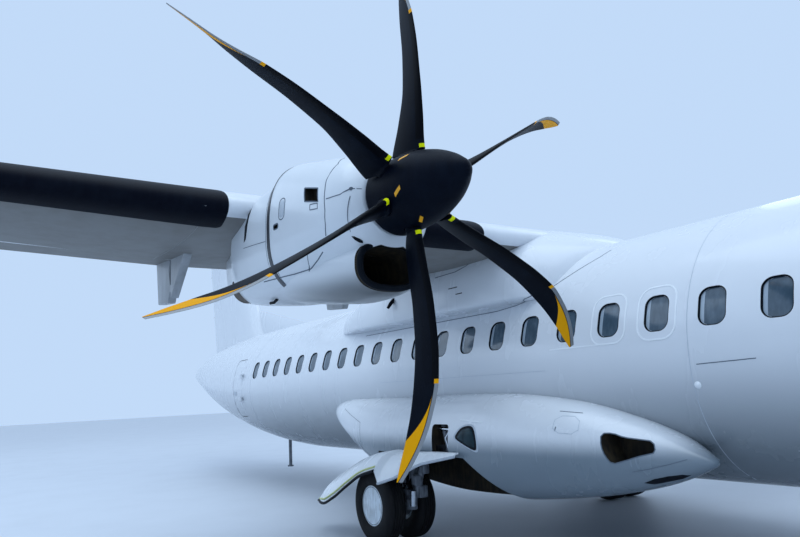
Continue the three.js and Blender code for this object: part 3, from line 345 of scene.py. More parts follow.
def makeGrime():
    # soft dirt and water streaks: a mask for colour and another for roughness
    tree, given, out = newTree("grime", "ShaderNodeTree",
                               {"Scale": ("Float", 1.0), "Amount": ("Float", 0.3), "Streak": ("Float", 4.0)},
                               {"Dirt": "Float", "Sheen": "Float"})
    place = objectPlace(tree)
    tall = addNode(tree, "ShaderNodeMapping", {"Vector": place, "Scale": (1, 1, grimeLook["tall"])})
    large = addNode(tree, "ShaderNodeTexNoise",
                    {"Vector": place, "Scale": given["Scale"], "Detail": 6, "Roughness": 0.6})
    fineScale = mathNode(tree, "MULTIPLY", given["Scale"], given["Streak"])
    fine = addNode(tree, "ShaderNodeTexNoise", {"Vector": tall.outputs["Vector"], "Scale": fineScale, "Detail": 4})
    both = mathNode(tree, "MULTIPLY", large.outputs["Fac"], fine.outputs["Fac"])
    strong = mathNode(tree, "MULTIPLY", mathNode(tree, "SUBTRACT", both, grimeLook["lift"]), grimeLook["strength"])
    tree.links.new(mathNode(tree, "MULTIPLY", strong, given["Amount"], True), out["Dirt"])
    tree.links.new(mathNode(tree, "MULTIPLY", fine.outputs["Fac"], grimeLook["sheen"]), out["Sheen"])
    return tree


def makeDroplets():
    # rain drops standing on a wet surface, as a height
    tree, given, out = newTree("droplets", "ShaderNodeTree", {"Scale": ("Float", 60.0), "Cover": ("Float", 0.3)},
                               {"Height": "Float"})
    place = objectPlace(tree)
    cells = addNode(tree, "ShaderNodeTexVoronoi", {"Vector": place, "Scale": given["Scale"]})
    patchScale = mathNode(tree, "MULTIPLY", given["Scale"], dropLook["patches"])
    patch = addNode(tree, "ShaderNodeTexNoise", {"Vector": place, "Scale": patchScale})
    reach = mathNode(tree, "MULTIPLY", patch.outputs["Fac"], given["Cover"])
    inside = mathNode(tree, "SUBTRACT", reach, cells.outputs["Distance"])
    tree.links.new(mathNode(tree, "MULTIPLY", inside, dropLook["steep"], True), out["Height"])
    return tree


grime, droplets = makeGrime(), makeDroplets()


def surface(name, colour, roughness, metallic=0.0, coat=0.0, dark=None, dirtScale=1.2, amount=0.35,
            bump=0.0, bumpScale=80.0, drops=0.0, shade=None, specular=0.5):
    material = bpy.data.materials.new(name)
    material.use_nodes = True
    tree = material.node_tree
    shader = tree.nodes["Principled BSDF"].inputs
    for key, value in {"Metallic": metallic, "Coat Weight": coat, "Coat Roughness": 0.08,
                       "Specular IOR Level": specular}.items():
        shader[key].default_value = value
    dirt = addNode(tree, "ShaderNodeGroup", {"Scale": dirtScale, "Amount": amount}, node_tree=grime).outputs
    look = paintOver(tree, (*colour, 1), dirt["Dirt"], dark or [c * 0.62 for c in colour])
    if shade:  # painted shade: a darker second colour takes over below a height, standing for the shade and the dark ground's reflection on the underside
        low, high, shadeColour = shade
        split = addNode(tree, "ShaderNodeSeparateXYZ", {0: objectPlace(tree)})
        ramp = addNode(tree, "ShaderNodeMapRange", {"Value": split.outputs["Z"], "From Min": low, "From Max": high,
                                                    "To Min": 1, "To Max": 0}, interpolation_type="SMOOTHSTEP")
        look = paintOver(tree, look, ramp.outputs["Result"], shadeColour)
    tree.links.new(look, shader["Base Color"])
    middle = roughness - grimeLook["sheen"] / 2  # the sheen mask adds about half its strength
    tree.links.new(mathNode(tree, "ADD", dirt["Sheen"], middle, True), shader["Roughness"])
    relief = None
    if bump:
        noise = addNode(tree, "ShaderNodeTexNoise", {"Vector": objectPlace(tree), "Scale": bumpScale, "Detail": 5})
        relief = addNode(tree, "ShaderNodeBump", {"Height": noise.outputs["Fac"], "Strength": bump, "Distance": 0.004})
    if drops:
        wet = addNode(tree, "ShaderNodeGroup", {"Scale": dropLook["scale"], "Cover": drops}, node_tree=droplets)
        below = {"Normal": relief.outputs["Normal"]} if relief else {}
        relief = addNode(tree, "ShaderNodeBump", {"Height": wet.outputs["Height"], "Strength": dropLook["strength"],
                                                  "Distance": dropLook["height"], **below})
    if relief:
        tree.links.new(relief.outputs["Normal"], shader["Normal"])
    return material


# the shade numbers of these three skins are painted shade and painted reflection of the dark ground: a darker colour
# below a height
skinWhite = surface("skinWhite", (0.72, 0.75, 0.79), 0.27, coat=0.35, dark=(0.54, 0.58, 0.63), dirtScale=0.7,
                    amount=0.09, shade=(1.05, 2.15, (0.17, 0.20, 0.225)))
skinNacelle = surface("skinNacelle", (0.70, 0.74, 0.78), 0.30, coat=0.3, dark=(0.52, 0.55, 0.58), dirtScale=1.1,
                      amount=0.12, shade=(2.46, 2.70, (0.12, 0.13, 0.135)))
skinPod = surface("skinPod", (0.73, 0.76, 0.80), 0.27, coat=0.35, dark=(0.5, 0.54, 0.58), dirtScale=0.9,
                  amount=0.1, shade=(1.05, 1.28, (0.17, 0.215, 0.255)))
doorWhite = surface("doorWhite", (0.88, 0.91, 0.94), 0.27, coat=0.35, dark=(0.5, 0.54, 0.58), dirtScale=1.4,
                    amount=0.25)
skinWing = surface("skinWing", (0.74, 0.77, 0.81), 0.30, coat=0.3, dirtScale=0.8, amount=0.35)
# the wing's grey underside paint, darkened further as painted shade
wingUnder = surface("wingUnder", (0.19, 0.19, 0.185), 0.5, dark=(0.15, 0.14, 0.13), dirtScale=1.5,
                    amount=0.7, bump=0.06, bumpScale=3.0, specular=0.3)
bootRubber = surface("bootRubber", (0.0008, 0.002, 0.007), 0.5, dark=(0.008, 0.013, 0.022), dirtScale=5, amount=0.3,
                     bump=0.15, bumpScale=120, drops=0.4, specular=0.07)
markOrange = surface("markOrange", (0.93, 0.42, 0.004), 0.42, dirtScale=14, amount=0.3)
spinnerBlack = surface("spinnerBlack", (0.0008, 0.0024, 0.0075), 0.5, dark=(0.005, 0.010, 0.020), dirtScale=4,
                       amount=0.4, bump=0.08, bumpScale=90, drops=0.35, specular=0.06)
gasketBlack = surface("gasketBlack", (0.002, 0.004, 0.008), 0.5, dark=(0.010, 0.014, 0.022), dirtScale=10, amount=0.4,
                      specular=0.1)
seamDark = surface("seamDark", (0.10, 0.13, 0.17), 0.6, dirtScale=12, amount=0.4)
trackGrey = surface("trackGrey", (0.40, 0.42, 0.44), 0.4, dark=(0.22, 0.22, 0.22), dirtScale=3, amount=0.5)
bandDark = surface("bandDark", (0.045, 0.05, 0.06), 0.38, metallic=0.3, dirtScale=6, amount=0.5)
# near-black painted shade inside the wheel wells, the pod's slot, the intake, the exhaust trough and the holes in the
# skin, with brown dirt patches
recessShade = surface("recessShade", (0.018, 0.016, 0.014), 0.7, dark=(0.06, 0.045, 0.025), dirtScale=6, amount=0.8,
                   specular=0.1)
# dark window glass; the grime mask lays lighter blue-grey patches on it as painted sky reflection
paneGrey = surface("paneGrey", (0.045, 0.075, 0.105), 0.10, coat=0.5, dark=(0.15, 0.21, 0.27), dirtScale=4, amount=0.5)
revealGrey = surface("revealGrey", (0.34, 0.41, 0.48), 0.25, coat=0.5, dirtScale=5, amount=0.4)
seamLight = surface("seamLight", (0.86, 0.89, 0.92), 0.3, dirtScale=6, amount=0.1)
seamSoft = surface("seamSoft", (0.50, 0.55, 0.61), 0.45, dirtScale=6, amount=0.3)
lensTeal = surface("lensTeal", (0.006, 0.020, 0.028), 0.2, dark=(0.05, 0.10, 0.12), dirtScale=3, amount=0.5,
                   specular=0.12)
cockpitPane = surface("cockpitPane", (0.03, 0.045, 0.055), 0.07, coat=1.0, dirtScale=3, amount=0.3, specular=0.8)
gearSteel = surface("gearSteel", (0.17, 0.19, 0.22), 0.42, metallic=0.35, dark=(0.05, 0.05, 0.06), dirtScale=9,
                    amount=0.9, bump=0.15, bumpScale=90)
brightSteel = surface("brightSteel", (0.58, 0.62, 0.67), 0.2, metallic=1.0, dirtScale=9, amount=0.3)
engineMetal = surface("engineMetal", (0.30, 0.31, 0.33), 0.4, metallic=0.9, dirtScale=6, amount=0.5)
exhaustMetal = surface("exhaustMetal", (0.14, 0.12, 0.10), 0.45, metallic=0.9, dark=(0.03, 0.025, 0.02), dirtScale=6,
                       amount=0.9)
tyreRubber = surface("tyreRubber", (0.006, 0.0065, 0.008), 0.66, dark=(0.022, 0.020, 0.018), dirtScale=4, amount=0.6,
                     bump=0.35, bumpScale=55, specular=0.15)
hubWhite = surface("hubWhite", (0.72, 0.80, 0.86), 0.36, coat=0.2, dark=(0.35, 0.38, 0.40), dirtScale=7, amount=0.7)
sealGreen = surface("sealGreen", (0.62, 0.68, 0.28), 0.45, dirtScale=9, amount=0.3)
lampRed = surface("lampRed", (0.45, 0.02, 0.02), 0.15, coat=0.8, dirtScale=8, amount=0.1)
lampGreen = surface("lampGreen", (0.02, 0.32, 0.10), 0.15, coat=0.8, dirtScale=8, amount=0.1)
print("materials made")


# a tree that softens the CAD pieces that stay
def makeSoftenTree():
    tree, given, out = newTree("softenEdges", "GeometryNodeTree",
                               {"Geometry": ("Geometry", None), "Angle": ("Float", math.radians(30))},
                               {"Geometry": "Geometry"})
    bend = tree.nodes.new("GeometryNodeInputMeshEdgeAngle")
    sharp = addNode(tree, "FunctionNodeCompare", {"A": bend.outputs["Unsigned Angle"], "B": given["Angle"]})
    faces = addNode(tree, "GeometryNodeSetShadeSmooth", {"Geometry": given["Geometry"]})
    edges = addNode(tree, "GeometryNodeSetShadeSmooth", {
        "Geometry": faces.outputs[0], "Selection": sharp.outputs["Result"], "Shade Smooth": False}, domain="EDGE")
    tree.links.new(edges.outputs[0], out["Geometry"])
    return tree


softenTree = makeSoftenTree()


def dressNode(name, material):
    obj = nodes[name]
    obj.data.materials.clear()
    obj.data.materials.append(material)
    obj.modifiers.new("soften", "NODES").node_group = softenTree


cadFinish = {
    "cockpit_glazing": cockpitPane, "passenger_door": skinWhite, "cargo_door": skinWhite, "service_door": skinWhite,
    "aileron_left": skinWing, "aileron_right": skinWing, "rudder": skinWhite, "elevator_left": skinWing,
    "elevator_right": skinWing, "engine_left": engineMetal, "engine_right": engineMetal, "main_leg_left": gearSteel,
    "main_leg_right": gearSteel, "nose_leg": gearSteel, "nose_fork": gearSteel, "nose_gear_door_left": skinWhite,
    "nose_gear_door_right": skinWhite, "tail_stand": gearSteel,
}
for nodeName, finish in cadFinish.items():
    dressNode(nodeName, finish)


# repeated pieces from one tree
def makeRowTree():
    # places copies of a prototype at the points of a mesh, turned by a stored vector
    tree, given, out = newTree("rowOfCopies", "GeometryNodeTree", {
        "Geometry": ("Geometry", None), "Prototype": ("Object", None), "Size": ("Float", 1.0),
        "Finish": ("Material", None)}, {"Geometry": "Geometry"})
    info = addNode(tree, "GeometryNodeObjectInfo", {"Object": given["Prototype"]})
    turn = addNode(tree, "GeometryNodeInputNamedAttribute", {"Name": "turn"}, data_type="FLOAT_VECTOR")
    copies = addNode(tree, "GeometryNodeInstanceOnPoints", {
        "Points": given["Geometry"], "Instance": info.outputs["Geometry"], "Rotation": turn.outputs["Attribute"],
        "Scale": given["Size"]})
    real = addNode(tree, "GeometryNodeRealizeInstances", {"Geometry": copies.outputs["Instances"]})
    paint = addNode(tree, "GeometryNodeSetMaterial",
                    {"Geometry": real.outputs["Geometry"], "Material": given["Finish"]})
    tree.links.new(paint.outputs["Geometry"], out["Geometry"])
    return tree


rowTree = makeRowTree()


def copiesOf(name, prototype, points, turns, material, size=1.0, angle=32):
    mesh = bpy.data.meshes.new(name)
    mesh.from_pydata([tuple(p) for p in points], [], [])
    attribute = mesh.attributes.new("turn", "FLOAT_VECTOR", "POINT")
    attribute.data.foreach_set("vector", np.asarray(turns, np.float32).ravel())
    obj = linked(name, mesh)
    modifier = obj.modifiers.new("copies", "NODES")
    modifier.node_group = rowTree
    sockets = {item.name: item.identifier for item in rowTree.interface.items_tree if item.in_out == "INPUT"}
    modifier[sockets["Prototype"]] = prototype
    modifier[sockets["Size"]] = size
    modifier[sockets["Finish"]] = material
    bake(obj, angle)
    return obj


# fuselage
fuselage = {
    "rows": [
        [0, 1700, 1600, 1650, 55, 2, 2], [100, 1905, 1400, 1650, 250, 2, 2], [300, 2090, 1240, 1660, 440, 2, 2],
        [600, 2260, 1110, 1680, 640, 2, 2], [1000, 2420, 1000, 1720, 850, 2, 2.05],
        [1300, 2520, 940, 1760, 980, 2, 2.1], [1700, 2790, 880, 1810, 1110, 2, 2.1],
        [2100, 3040, 835, 1850, 1215, 2, 2.15], [2600, 3210, 790, 1890, 1310, 2, 2.2],
        [3200, 3330, 750, 1925, 1390, 2, 2.2], [3900, 3376, 735, 1944, 1432, 2, 2.2],
        [17300, 3376, 735, 1944, 1432, 2, 2.2], [18400, 3376, 780, 1950, 1426, 2, 2.2],
        [19500, 3372, 890, 1985, 1398, 2, 2.2], [20700, 3360, 1070, 2060, 1320, 2, 2.15],
        [22000, 3325, 1300, 2160, 1165, 2, 2.1], [23400, 3245, 1600, 2290, 930, 2, 2.05],
        [24800, 3110, 1930, 2420, 650, 2, 2], [26000, 2930, 2230, 2515, 380, 2, 2],
        [26900, 2730, 2460, 2570, 150, 2, 2], [27166, 2620, 2530, 2575, 50, 2, 2],
    ],
    "facets": 144,
    "windowFirst": -4.912, "windowPitch": 0.547, "windowCount": 21, "windowZ": 2.352,
    "windowWidth": 0.235, "windowHeight": 0.325, "windowCorner": 0.085, "windowBend": 1.43,
}
doors = {
    "passenger": {"from": 19190, "to": 19960, "foot": 1.390, "head": 3.110, "side": 1},
    "cargo": {"from": 3120, "to": 4395, "foot": 1.150, "head": 2.680, "side": 1},
    "service": {"from": 19230, "to": 19840, "foot": 1.400, "head": 2.620, "side": -1},
}
doorCut = {"corner": 0.110, "room": 0.012, "depth": 92, "inner": 0.3, "outer": 1.8}


def sectionAt(rows, x):
    # a hull's section at one place along X
    return smoothTable(rows, [(noseX - x) / mm])[0]


def sectionReach(values, z):
    # half width in metres of a section at one height
    top, bottom, wide, half, upper, lower = values
    h = z / mm
    power, reach = (upper, top - wide) if h >= wide else (lower, wide - bottom)
    share = min(1.0, abs(h - wide) / reach)
    return half * (1 - share**power) ** (1 / power) * mm


def fuselageSkin(x, z):
    return sectionReach(sectionAt(fuselage["rows"], x), z)


def skinNormal(x, z, side):
    step = 0.01
    dz = (fuselageSkin(x, z + step) - fuselageSkin(x, z - step)) / (2 * step)
    dx = (fuselageSkin(x + step, z) - fuselageSkin(x - step, z)) / (2 * step)
    return Vector((-dx, side, -dz)).normalized()


def hullPiece(name, rows, stations, middleY, facets, materials, grow=0.0):
    return loftObject(name, hullRings(rows, stations, middleY, facets, grow), materials)


def curvedCutter(name, loop, side, depth, stations):
    # a prism of a loop, kept outside a shrunken fuselage, so that a pocket has an even depth
    cutter = prismAlongY(name, loop, side * doorCut["inner"], side * doorCut["outer"])
    core = hullPiece("core", fuselage["rows"], stations, 0, 96, [], -depth)
    return carve(cutter, [core])


middles = {"fuselage": 0, "fairing": 0, "pod": 1290, "nacelle": 4050, "cowl": 4050}
meetings = {"fairing": ["fairing"], "pod": ["pod"], "nacelle": ["nacelle", "chin"], "cowl": ["nacelle"], "fuselage": []}


def skinTables(hull):
    tables = [bodyHulls[name] for name in meetings[hull]]
    return tables + [fuselage["rows"]] if hull in ("fuselage", "fairing") else tables


def skinReach(hull, x, z):
    # distance from a hull's middle plane to its skin, the larger one where two hulls meet
    station = (noseX - x) / mm
    return max([0.02] + [sectionReach(sectionAt(rows, x), z) for rows in skinTables(hull)
                         if rows[0][0] <= station <= rows[-1][0]])


def skinSpot(hull, x, z, side, proud):
    # a point just off the outboard skin, and the direction away from it
    step = 0.006
    dx = (skinReach(hull, x + step, z) - skinReach(hull, x - step, z)) / (2 * step)
    dz = (skinReach(hull, x, z + step) - skinReach(hull, x, z - step)) / (2 * step)
    normal = np.array([-dx, side, -dz]) / math.sqrt(1 + dx * dx + dz * dz)
    return np.array([x, side * (middles[hull] * mm + skinReach(hull, x, z)), z]) + normal * proud, normal


def skinLine(hull, points, width, material, side, closed=False, proud=0.0012):
    # a narrow ribbon lying on a hull along points of (x, z)
    points = np.array(points, float)
    if closed:
        points = np.concatenate([points, points[:1]])
    path = [points[0]]
    for a, b in zip(points[:-1], points[1:]):
        count = max(1, round(float(np.linalg.norm(b - a)) / 0.05))
        path += [a + (b - a) * t for t in np.linspace(0, 1, count + 1)[1:]]
    spots, normals = (np.array(values) for values in zip(*(skinSpot(hull, x, z, side, proud) for x, z in path)))
    across = np.cross(normals, np.gradient(spots, axis=0))
    across *= width / 2 / np.linalg.norm(across, axis=1, keepdims=True)
    deep = normals * (proud + 0.004)
    rings = [spots + across, spots - across, spots - across - deep, spots + across - deep]
    return loftObject("skinLine", np.stack(rings, 1), [material])


def skinPatch(hull, outline, material, side, proud=0.002, dome=0.0):
    # a thin cover lying on a hull inside an outline of (x, z)
    outline = np.array(outline, float)
    middle = outline.mean(0)
    steps = ((1.0, -0.004), (1.0, proud * 0.6), (0.97, proud), (0.7, proud + dome * 0.5), (0.4, proud + dome * 0.84),
             (0.02, proud + dome))
    rings = [[skinSpot(hull, *(middle + (p - middle) * k), side, lift)[0] for p in outline] for k, lift in steps]
    return loftObject("skinPatch", rings, [material], angle=40)


def skinHole(hull, outline, side, depth):
    # a cutter that goes in sideways through a hull
    outline = np.array(outline, float)
    reach = min(skinReach(hull, x, z) for x, z in outline) + middles[hull] * mm
    return prismAlongY("skinHole", outline, side * (reach - depth), side * (reach + 0.3), [recessShade])


def eased(outline, rounds=2):
    # takes the corners off an outline
    outline = np.array(outline, float)
    for _ in range(rounds):
        after = np.roll(outline, -1, 0)
        outline = np.stack([outline * 0.75 + after * 0.25, outline * 0.25 + after * 0.75], 1).reshape(-1, 2)
    return outline


hinge = {"rod": 0.018, "lugRod": 0.012, "play": 0.0006, "knuckle": 0.150, "lug": 0.090, "proud": 0.012,
         "arms": (1.750, 2.230), "eye": 0.024, "tall": 0.050, "out": 0.034, "ahead": 0.040, "plate": 0.030,
         "front": 0.010, "root": 0.120}


def fixedKnuckles(name, z, away):
    # the fuselage's own knuckles beside those of a door, each on a lug that leans into the skin
    door, parts = doors[name], []
    ends = [np.array([x, door["side"] * (fuselageSkin(x, z) + hinge["proud"]), z])
            for x in (aft(door["from"]) - doorCut["corner"], aft(door["to"]) + doorCut["corner"])]
    for start, end in (ends, ends[::-1]):
        along = (end - start) / np.linalg.norm(end - start)
        spots = [start + along * (hinge["knuckle"] + hinge[k]) for k in ("play", "lug")]
        parts.append(tubeObject("knuckle", spots, hinge["rod"], 20, [skinWhite]))
        middle = start + along * (hinge["knuckle"] + hinge["lug"] / 2)
        path = [middle + (0, 0, away * 0.008), middle + (0, -door["side"] * 0.110, away * 0.060)]
        parts.append(tubeObject("lug", path, hinge["lugRod"], 12, [skinWhite]))
    return parts


def serviceBrackets():
    # plates above and below each arm of the service door, on its upright axis
    x = aft(doors["service"]["from"]) + hinge["ahead"]
    y = -(smoothTable(fuselage["rows"], [doors["service"]["from"]])[0][3] * mm + hinge["out"])
    parts = []
    for arm in hinge["arms"]:
        for foot in (arm - hinge["play"] - hinge["plate"], arm + hinge["tall"] + hinge["play"]):
            head = foot + hinge["plate"]
            parts.append(tubeObject("bracketEye", [(x, y, foot), (x, y, head)], hinge["eye"], 24, [skinWhite]))
            low, high = (x - hinge["front"], y, foot), (x + hinge["eye"], y + hinge["root"], head)
            parts.append(boxObject("bracket", low, high, [skinWhite]))
    return parts


fuselageMarks = {
    # points are (X, Z); a ring is its two ends along X, its two heights and its corner
    "rings": [(4.185, 4.590, 2.118, 2.592, 0.12), (4.735, 5.135, 2.112, 2.598, 0.13)],
    "frames": [aft(660), aft(2900), 5.25, aft(18700), aft(24800)], "frameEnd": 0.06,
    "lines": [([(4.43, 2.118), (3.62, 2.118)], 0.012, seamLight), ([(0.17, 1.904), (3.54, 1.904)], 0.006, seamSoft),
              ([(5.9, 1.16), (9.2, 1.16)], 0.006, seamSoft), ([(5.31, 1.868), (5.83, 1.885)], 0.008, seamDark),
              ([(6.1, 1.42), (6.5, 1.42)], 0.008, seamDark)],
    "posts": [[(12.22, 2.475), (11.95, 2.66), (11.72, 2.82)], [(11.95, 2.475), (11.74, 2.74), (11.60, 2.93)],
              [(11.45, 2.475), (11.38, 2.985)]],
    "lamp": (5.288, 1.695, 0.03), "probes": [(12.45, 1.72), (12.45, 1.98)],
    # the wiper's foot, its reach aft, its foot and reach outboard, and its height above the glass
    "wiper": (12.40, 0.30, 0.06, 0.26, 0.012),
    "antennas": [(9.4, 3.36, 0.24), (-7.9, 3.34, 0.24), (2.9, 0.76, -0.20), (8.6, 0.76, -0.16)],
}


def topSpot(x, y, proud):
    # a point above the fuselage's upper skin
    top, _, wide, half, upper, _ = sectionAt(fuselage["rows"], x)
    return (x, y, (wide + (top - wide) * (1 - min(1, abs(y) / mm / half) ** upper) ** (1 / upper)) * mm + proud)


def flankTrim(side):
    marks = fuselageMarks
    parts = [skinLine("fuselage", roundedLoop(*ring, 5), 0.016, seamLight, side, True, 0.003)
             for ring in marks["rings"]]
    for x in marks["frames"]:
        top, bottom = sectionAt(fuselage["rows"], x)[:2] * mm
        heights = np.linspace(bottom + marks["frameEnd"], top - marks["frameEnd"], 24)
        parts.append(skinLine("fuselage", [(x, z) for z in heights], 0.006, seamSoft, side))
    parts += [skinLine("fuselage", points, width, finish, side) for points, width, finish in marks["lines"]]
    x, z, half = marks["lamp"]
    lamp = eased(roundedLoop(x - half, x + half, z - half, z + half, 0.028), 0)
    parts.append(skinPatch("fuselage", lamp, seamLight, side, 0.006, 0.012))
    parts += [skinLine("fuselage", post, 0.055, skinWhite, side, False, 0.004) for post in marks["posts"]]
    for x, z in marks["probes"]:
        spot, normal = skinSpot("fuselage", x, z, side, 0)
        path = [spot + normal * out + (ahead, 0, 0)
                for out, ahead in ((-0.01, 0), (0.055, 0), (0.07, 0.03), (0.07, 0.15))]
        parts.append(tubeObject("pitotProbe", path, (0.011, 0.011, 0.010, 0.006), 14, [brightSteel]))
    x, back, near, out, lift = marks["wiper"]
    wiper = [topSpot(x - back * t, side * (near + out * t), lift) for t in np.linspace(0, 1, 6)]
    return parts + [tubeObject("wiper", wiper, 0.008, 10, [gasketBlack])]


def fuselageTrim():
    parts = flankTrim(1) + flankTrim(-1)
    spots = np.array([topSpot(x, 0, 0.004) for x in np.linspace(12.44, 11.54, 14)])
    corners = [(0, -0.028, 0), (0, 0.028, 0), (0, 0.028, -0.03), (0, -0.028, -0.03)]
    parts.append(loftObject("centrePost", np.stack([spots + corner for corner in corners], 1), [skinWhite]))
    for x, z, rise in fuselageMarks["antennas"]:
        fin = np.array([(x, z), (x + 0.26, z), (x + 0.16, z + rise), (x + 0.03, z + rise)])
        parts.append(prismAlongY("antenna", fin, -0.011, 0.011, [skinWhite]))
    for name, edge, away in (("passenger", "foot", -1), ("cargo", "head", 1)):
        parts += fixedKnuckles(name, doors[name][edge], away)
    return parts + serviceBrackets()


noseBay = {"from": 880, "to": 1840, "half": 0.270, "roof": 1.290}
glassBand = {
    # corners of the cockpit glazing seen from the side, and how far behind the skin its pocket reaches
    "corners": [(aft(1330) + 0.7, 2.4697), (aft(2010) + 0.7, 2.9903), (aft(2490) - 0.0003, 2.9903),
                (aft(2820) - 0.0003, 2.82), (aft(2820) - 0.0003, 2.4697)], "depth": 26.3,
}


def makeFuselage():
    rows, room = fuselage["rows"], doorCut["room"]
    stations = spread([0, 12, 40, 100, 200, 400, 700, 1300, 3900, 9300, 17300, 24800, 26900, 27166], 130)
    skin = hullPiece("fuselageSkin", rows, stations, 0, fuselage["facets"], [skinWhite])
    cutters = []
    for name, door in doors.items():
        loop = roundedLoop(aft(door["to"]) - room, aft(door["from"]) + room, door["foot"] - room,
                           door["head"] + room, doorCut["corner"] + room)
        reach = spread([door["from"] - 150, door["to"] + 150], 60)
        cutters.append(curvedCutter(name + "Cutter", loop, door["side"], doorCut["depth"], reach))
    low, high = (aft(noseBay["to"]), -noseBay["half"], 0), (aft(noseBay["from"]), noseBay["half"], noseBay["roof"])
    cutters.append(boxObject("bayCutter", low, high, []))
    glass = prismAlongY("glassCutter", np.array(glassBand["corners"]), -1.5, 1.5)
    core = hullPiece("core", rows, spread([640, 2880], 70), 0, 96, [], -glassBand["depth"])
    carve(skin, cutters + [carve(glass, [core])])
    carve(skin, [makeWindowCutters()])
    skin.data.materials.clear()
    skin.data.materials.append(skinWhite)
    settle(joined("fuselageBody", [skin] + fuselageTrim()), "airframe",
           ("radome", "nose_section", "forward_fuselage", "centre_fuselage", "rear_fuselage", "tail_section",
            "tail_cone"))


def windowTurn(side, tilt, yaw):
    # a prototype drawn facing +Y is turned to face outwards on either side
    about = yaw if side > 0 else math.pi + yaw
    return (Matrix.Rotation(about, 3, "Z") @ Matrix.Rotation(tilt, 3, "X")).to_euler("XYZ")


def windowPlaces():
    places = []
    for side in (-1, 1):
        for k in range(fuselage["windowCount"]):
            x = fuselage["windowFirst"] + k * fuselage["windowPitch"]
            z = fuselage["windowZ"]
            normal = skinNormal(x, z, side)
            tilt = math.atan2(normal.z, abs(normal.y))
            yaw = math.atan2(-side * normal.x, side * normal.y)
            places.append(((x, side * fuselageSkin(x, z), z), windowTurn(side, tilt, yaw), side))
    return places


def bentLoop(grow, y):
    # the window's outline, bent to the fuselage's curve, at a depth y
    w, h = fuselage["windowWidth"] / 2 + grow, fuselage["windowHeight"] / 2 + grow
    loop = roundedLoop(-w, w, -h, h, fuselage["windowCorner"] + grow, 7)
    drop = loop[:, 1] ** 2 / (2 * fuselage["windowBend"])
    return np.column_stack([loop[:, 0], y - drop, loop[:, 1]])


def makeWindowCutters():
    prototype = loftObject("windowCutter", [bentLoop(pane["cutRoom"], y) for y in pane["cut"]], [])
    places = windowPlaces()
    cutter = copiesOf("windowCutters", prototype, [p[0] for p in places], [p[1] for p in places], skinWhite)
    bpy.data.objects.remove(prototype)
    return cutter


pane = {
    # depth behind the skin and thickness of a pane and of the strip behind it, that strip's share on each side
    "glass": (-0.0185, 0.003), "strip": (-0.0178, 0.0004), "shares": {1: (-0.97, -0.66), -1: (0.66, 0.97)},
    "seal": ((0.011, -0.019), (0.011, -0.001), (0.006, 0.0005), (0.002, -0.004), (0.001, -0.012), (0.001, -0.019)),
    "room": 0.002, "cutRoom": 0.012, "cut": (0.05, -0.020),
}


def paneShape(start, end, y, thickness):
    # part of a window's pane between two shares of its width, bent to the fuselage's curve
    w, h = fuselage["windowWidth"] / 2 + pane["room"], fuselage["windowHeight"] / 2 + pane["room"]
    corner, grid = fuselage["windowCorner"], []
    for z in np.linspace(-h, h, 17):
        inset = corner - math.sqrt(max(0.0, corner**2 - max(0.0, abs(z) - (h - corner)) ** 2))
        edges = [min(max(share * w, -w + inset), w - inset) for share in (start, end)]
        xs = np.linspace(edges[0], edges[1] + 1e-4, 7)
        grid.append([(x, y - z * z / (2 * fuselage["windowBend"]), z) for x in xs])
    return sheetObject("paneShape", np.array(grid), thickness, [], 60)


def makeWindows():
    places = windowPlaces()
    spots, turns = [p[0] for p in places], [p[1] for p in places]
    glass = paneShape(-1, 1, *pane["glass"])
    seal = loftObject("sealShape", [bentLoop(grow, y) for grow, y in pane["seal"]], [], caps=False)
    panes = copiesOf("cabinPanes", glass, spots, turns, paneGrey, angle=60)
    seals = copiesOf("cabinWindowSeals", seal, spots, turns, gasketBlack, angle=60)
    # the cabin wall's reveal behind each pane's rear edge, a lighter strip
    reveals = []
    for side, ends in pane["shares"].items():
        reveal = paneShape(*ends, *pane["strip"])
        here = [k for k, place in enumerate(places) if place[2] == side]
        strips = copiesOf("reveals", reveal, [spots[k] for k in here], [turns[k] for k in here], revealGrey, angle=60)
        reveals.append(strips)
        bpy.data.objects.remove(reveal)
    for shape in (glass, seal):
        bpy.data.objects.remove(shape)
    settle(joined("cabinWindowPanes", [panes] + reveals), "airframe")
    settle(seals, "airframe")


makeFuselage()
makeWindows()
print("fuselage and windows made")


# aerofoils and the wing
def foilHalf(x):
    return 5 * (0.2969 * np.sqrt(x) - 0.126 * x - 0.3516 * x**2 + 0.2843 * x**3 - 0.1036 * x**4)


def camberLine(x, camber):
    x = np.asarray(x, float)
    peak = 0.4
    return np.where(x < peak, camber / peak**2 * (2 * peak * x - x * x),
                    camber / (1 - peak) ** 2 * (1 - 2 * peak + 2 * peak * x - x * x))


def foilLoop(chord, ratio, camber, count=28):
    i = np.arange(2 * count)
    x = (1 + np.cos(np.pi * i / count)) / 2
    side = np.where(i <= count, 1, -1)
    return np.stack([x * chord, (camberLine(x, camber) + side * ratio * foilHalf(x)) * chord], 1)


def noseSkin(chord, ratio, camber, reach, proud, count=14):
    # the front of a section from its lower to its upper side, moved outwards
    k = np.linspace(-1, 1, 2 * count + 1)
    x = reach * k**2
    spots = np.stack([x * chord, (camberLine(x, camber) + np.sign(k) * ratio * foilHalf(x)) * chord], 1)
    along = np.gradient(spots, axis=0)
    normal = np.stack([-along[:, 1], along[:, 0]], 1)
    normal /= np.linalg.norm(normal, axis=1, keepdims=True) + 1e-12
    if normal[count, 0] > 0:
        normal = -normal
    return spots + normal * proud


def bayLoop(chord, ratio, camber, share, clearance=8, stretch=1.0):
    aftward, up = share * chord, float(camberLine(share, camber)) * chord
    radius = ratio * foilHalf(share) * chord + clearance
    angle = np.radians(np.linspace(90, 270, 17))
    nose = np.stack([aftward + radius * stretch * np.cos(angle), up + radius * np.sin(angle)], 1)
    end = chord + 150
    return np.concatenate([nose, [[end, up - radius - 40], [end, up + radius + 40]]])


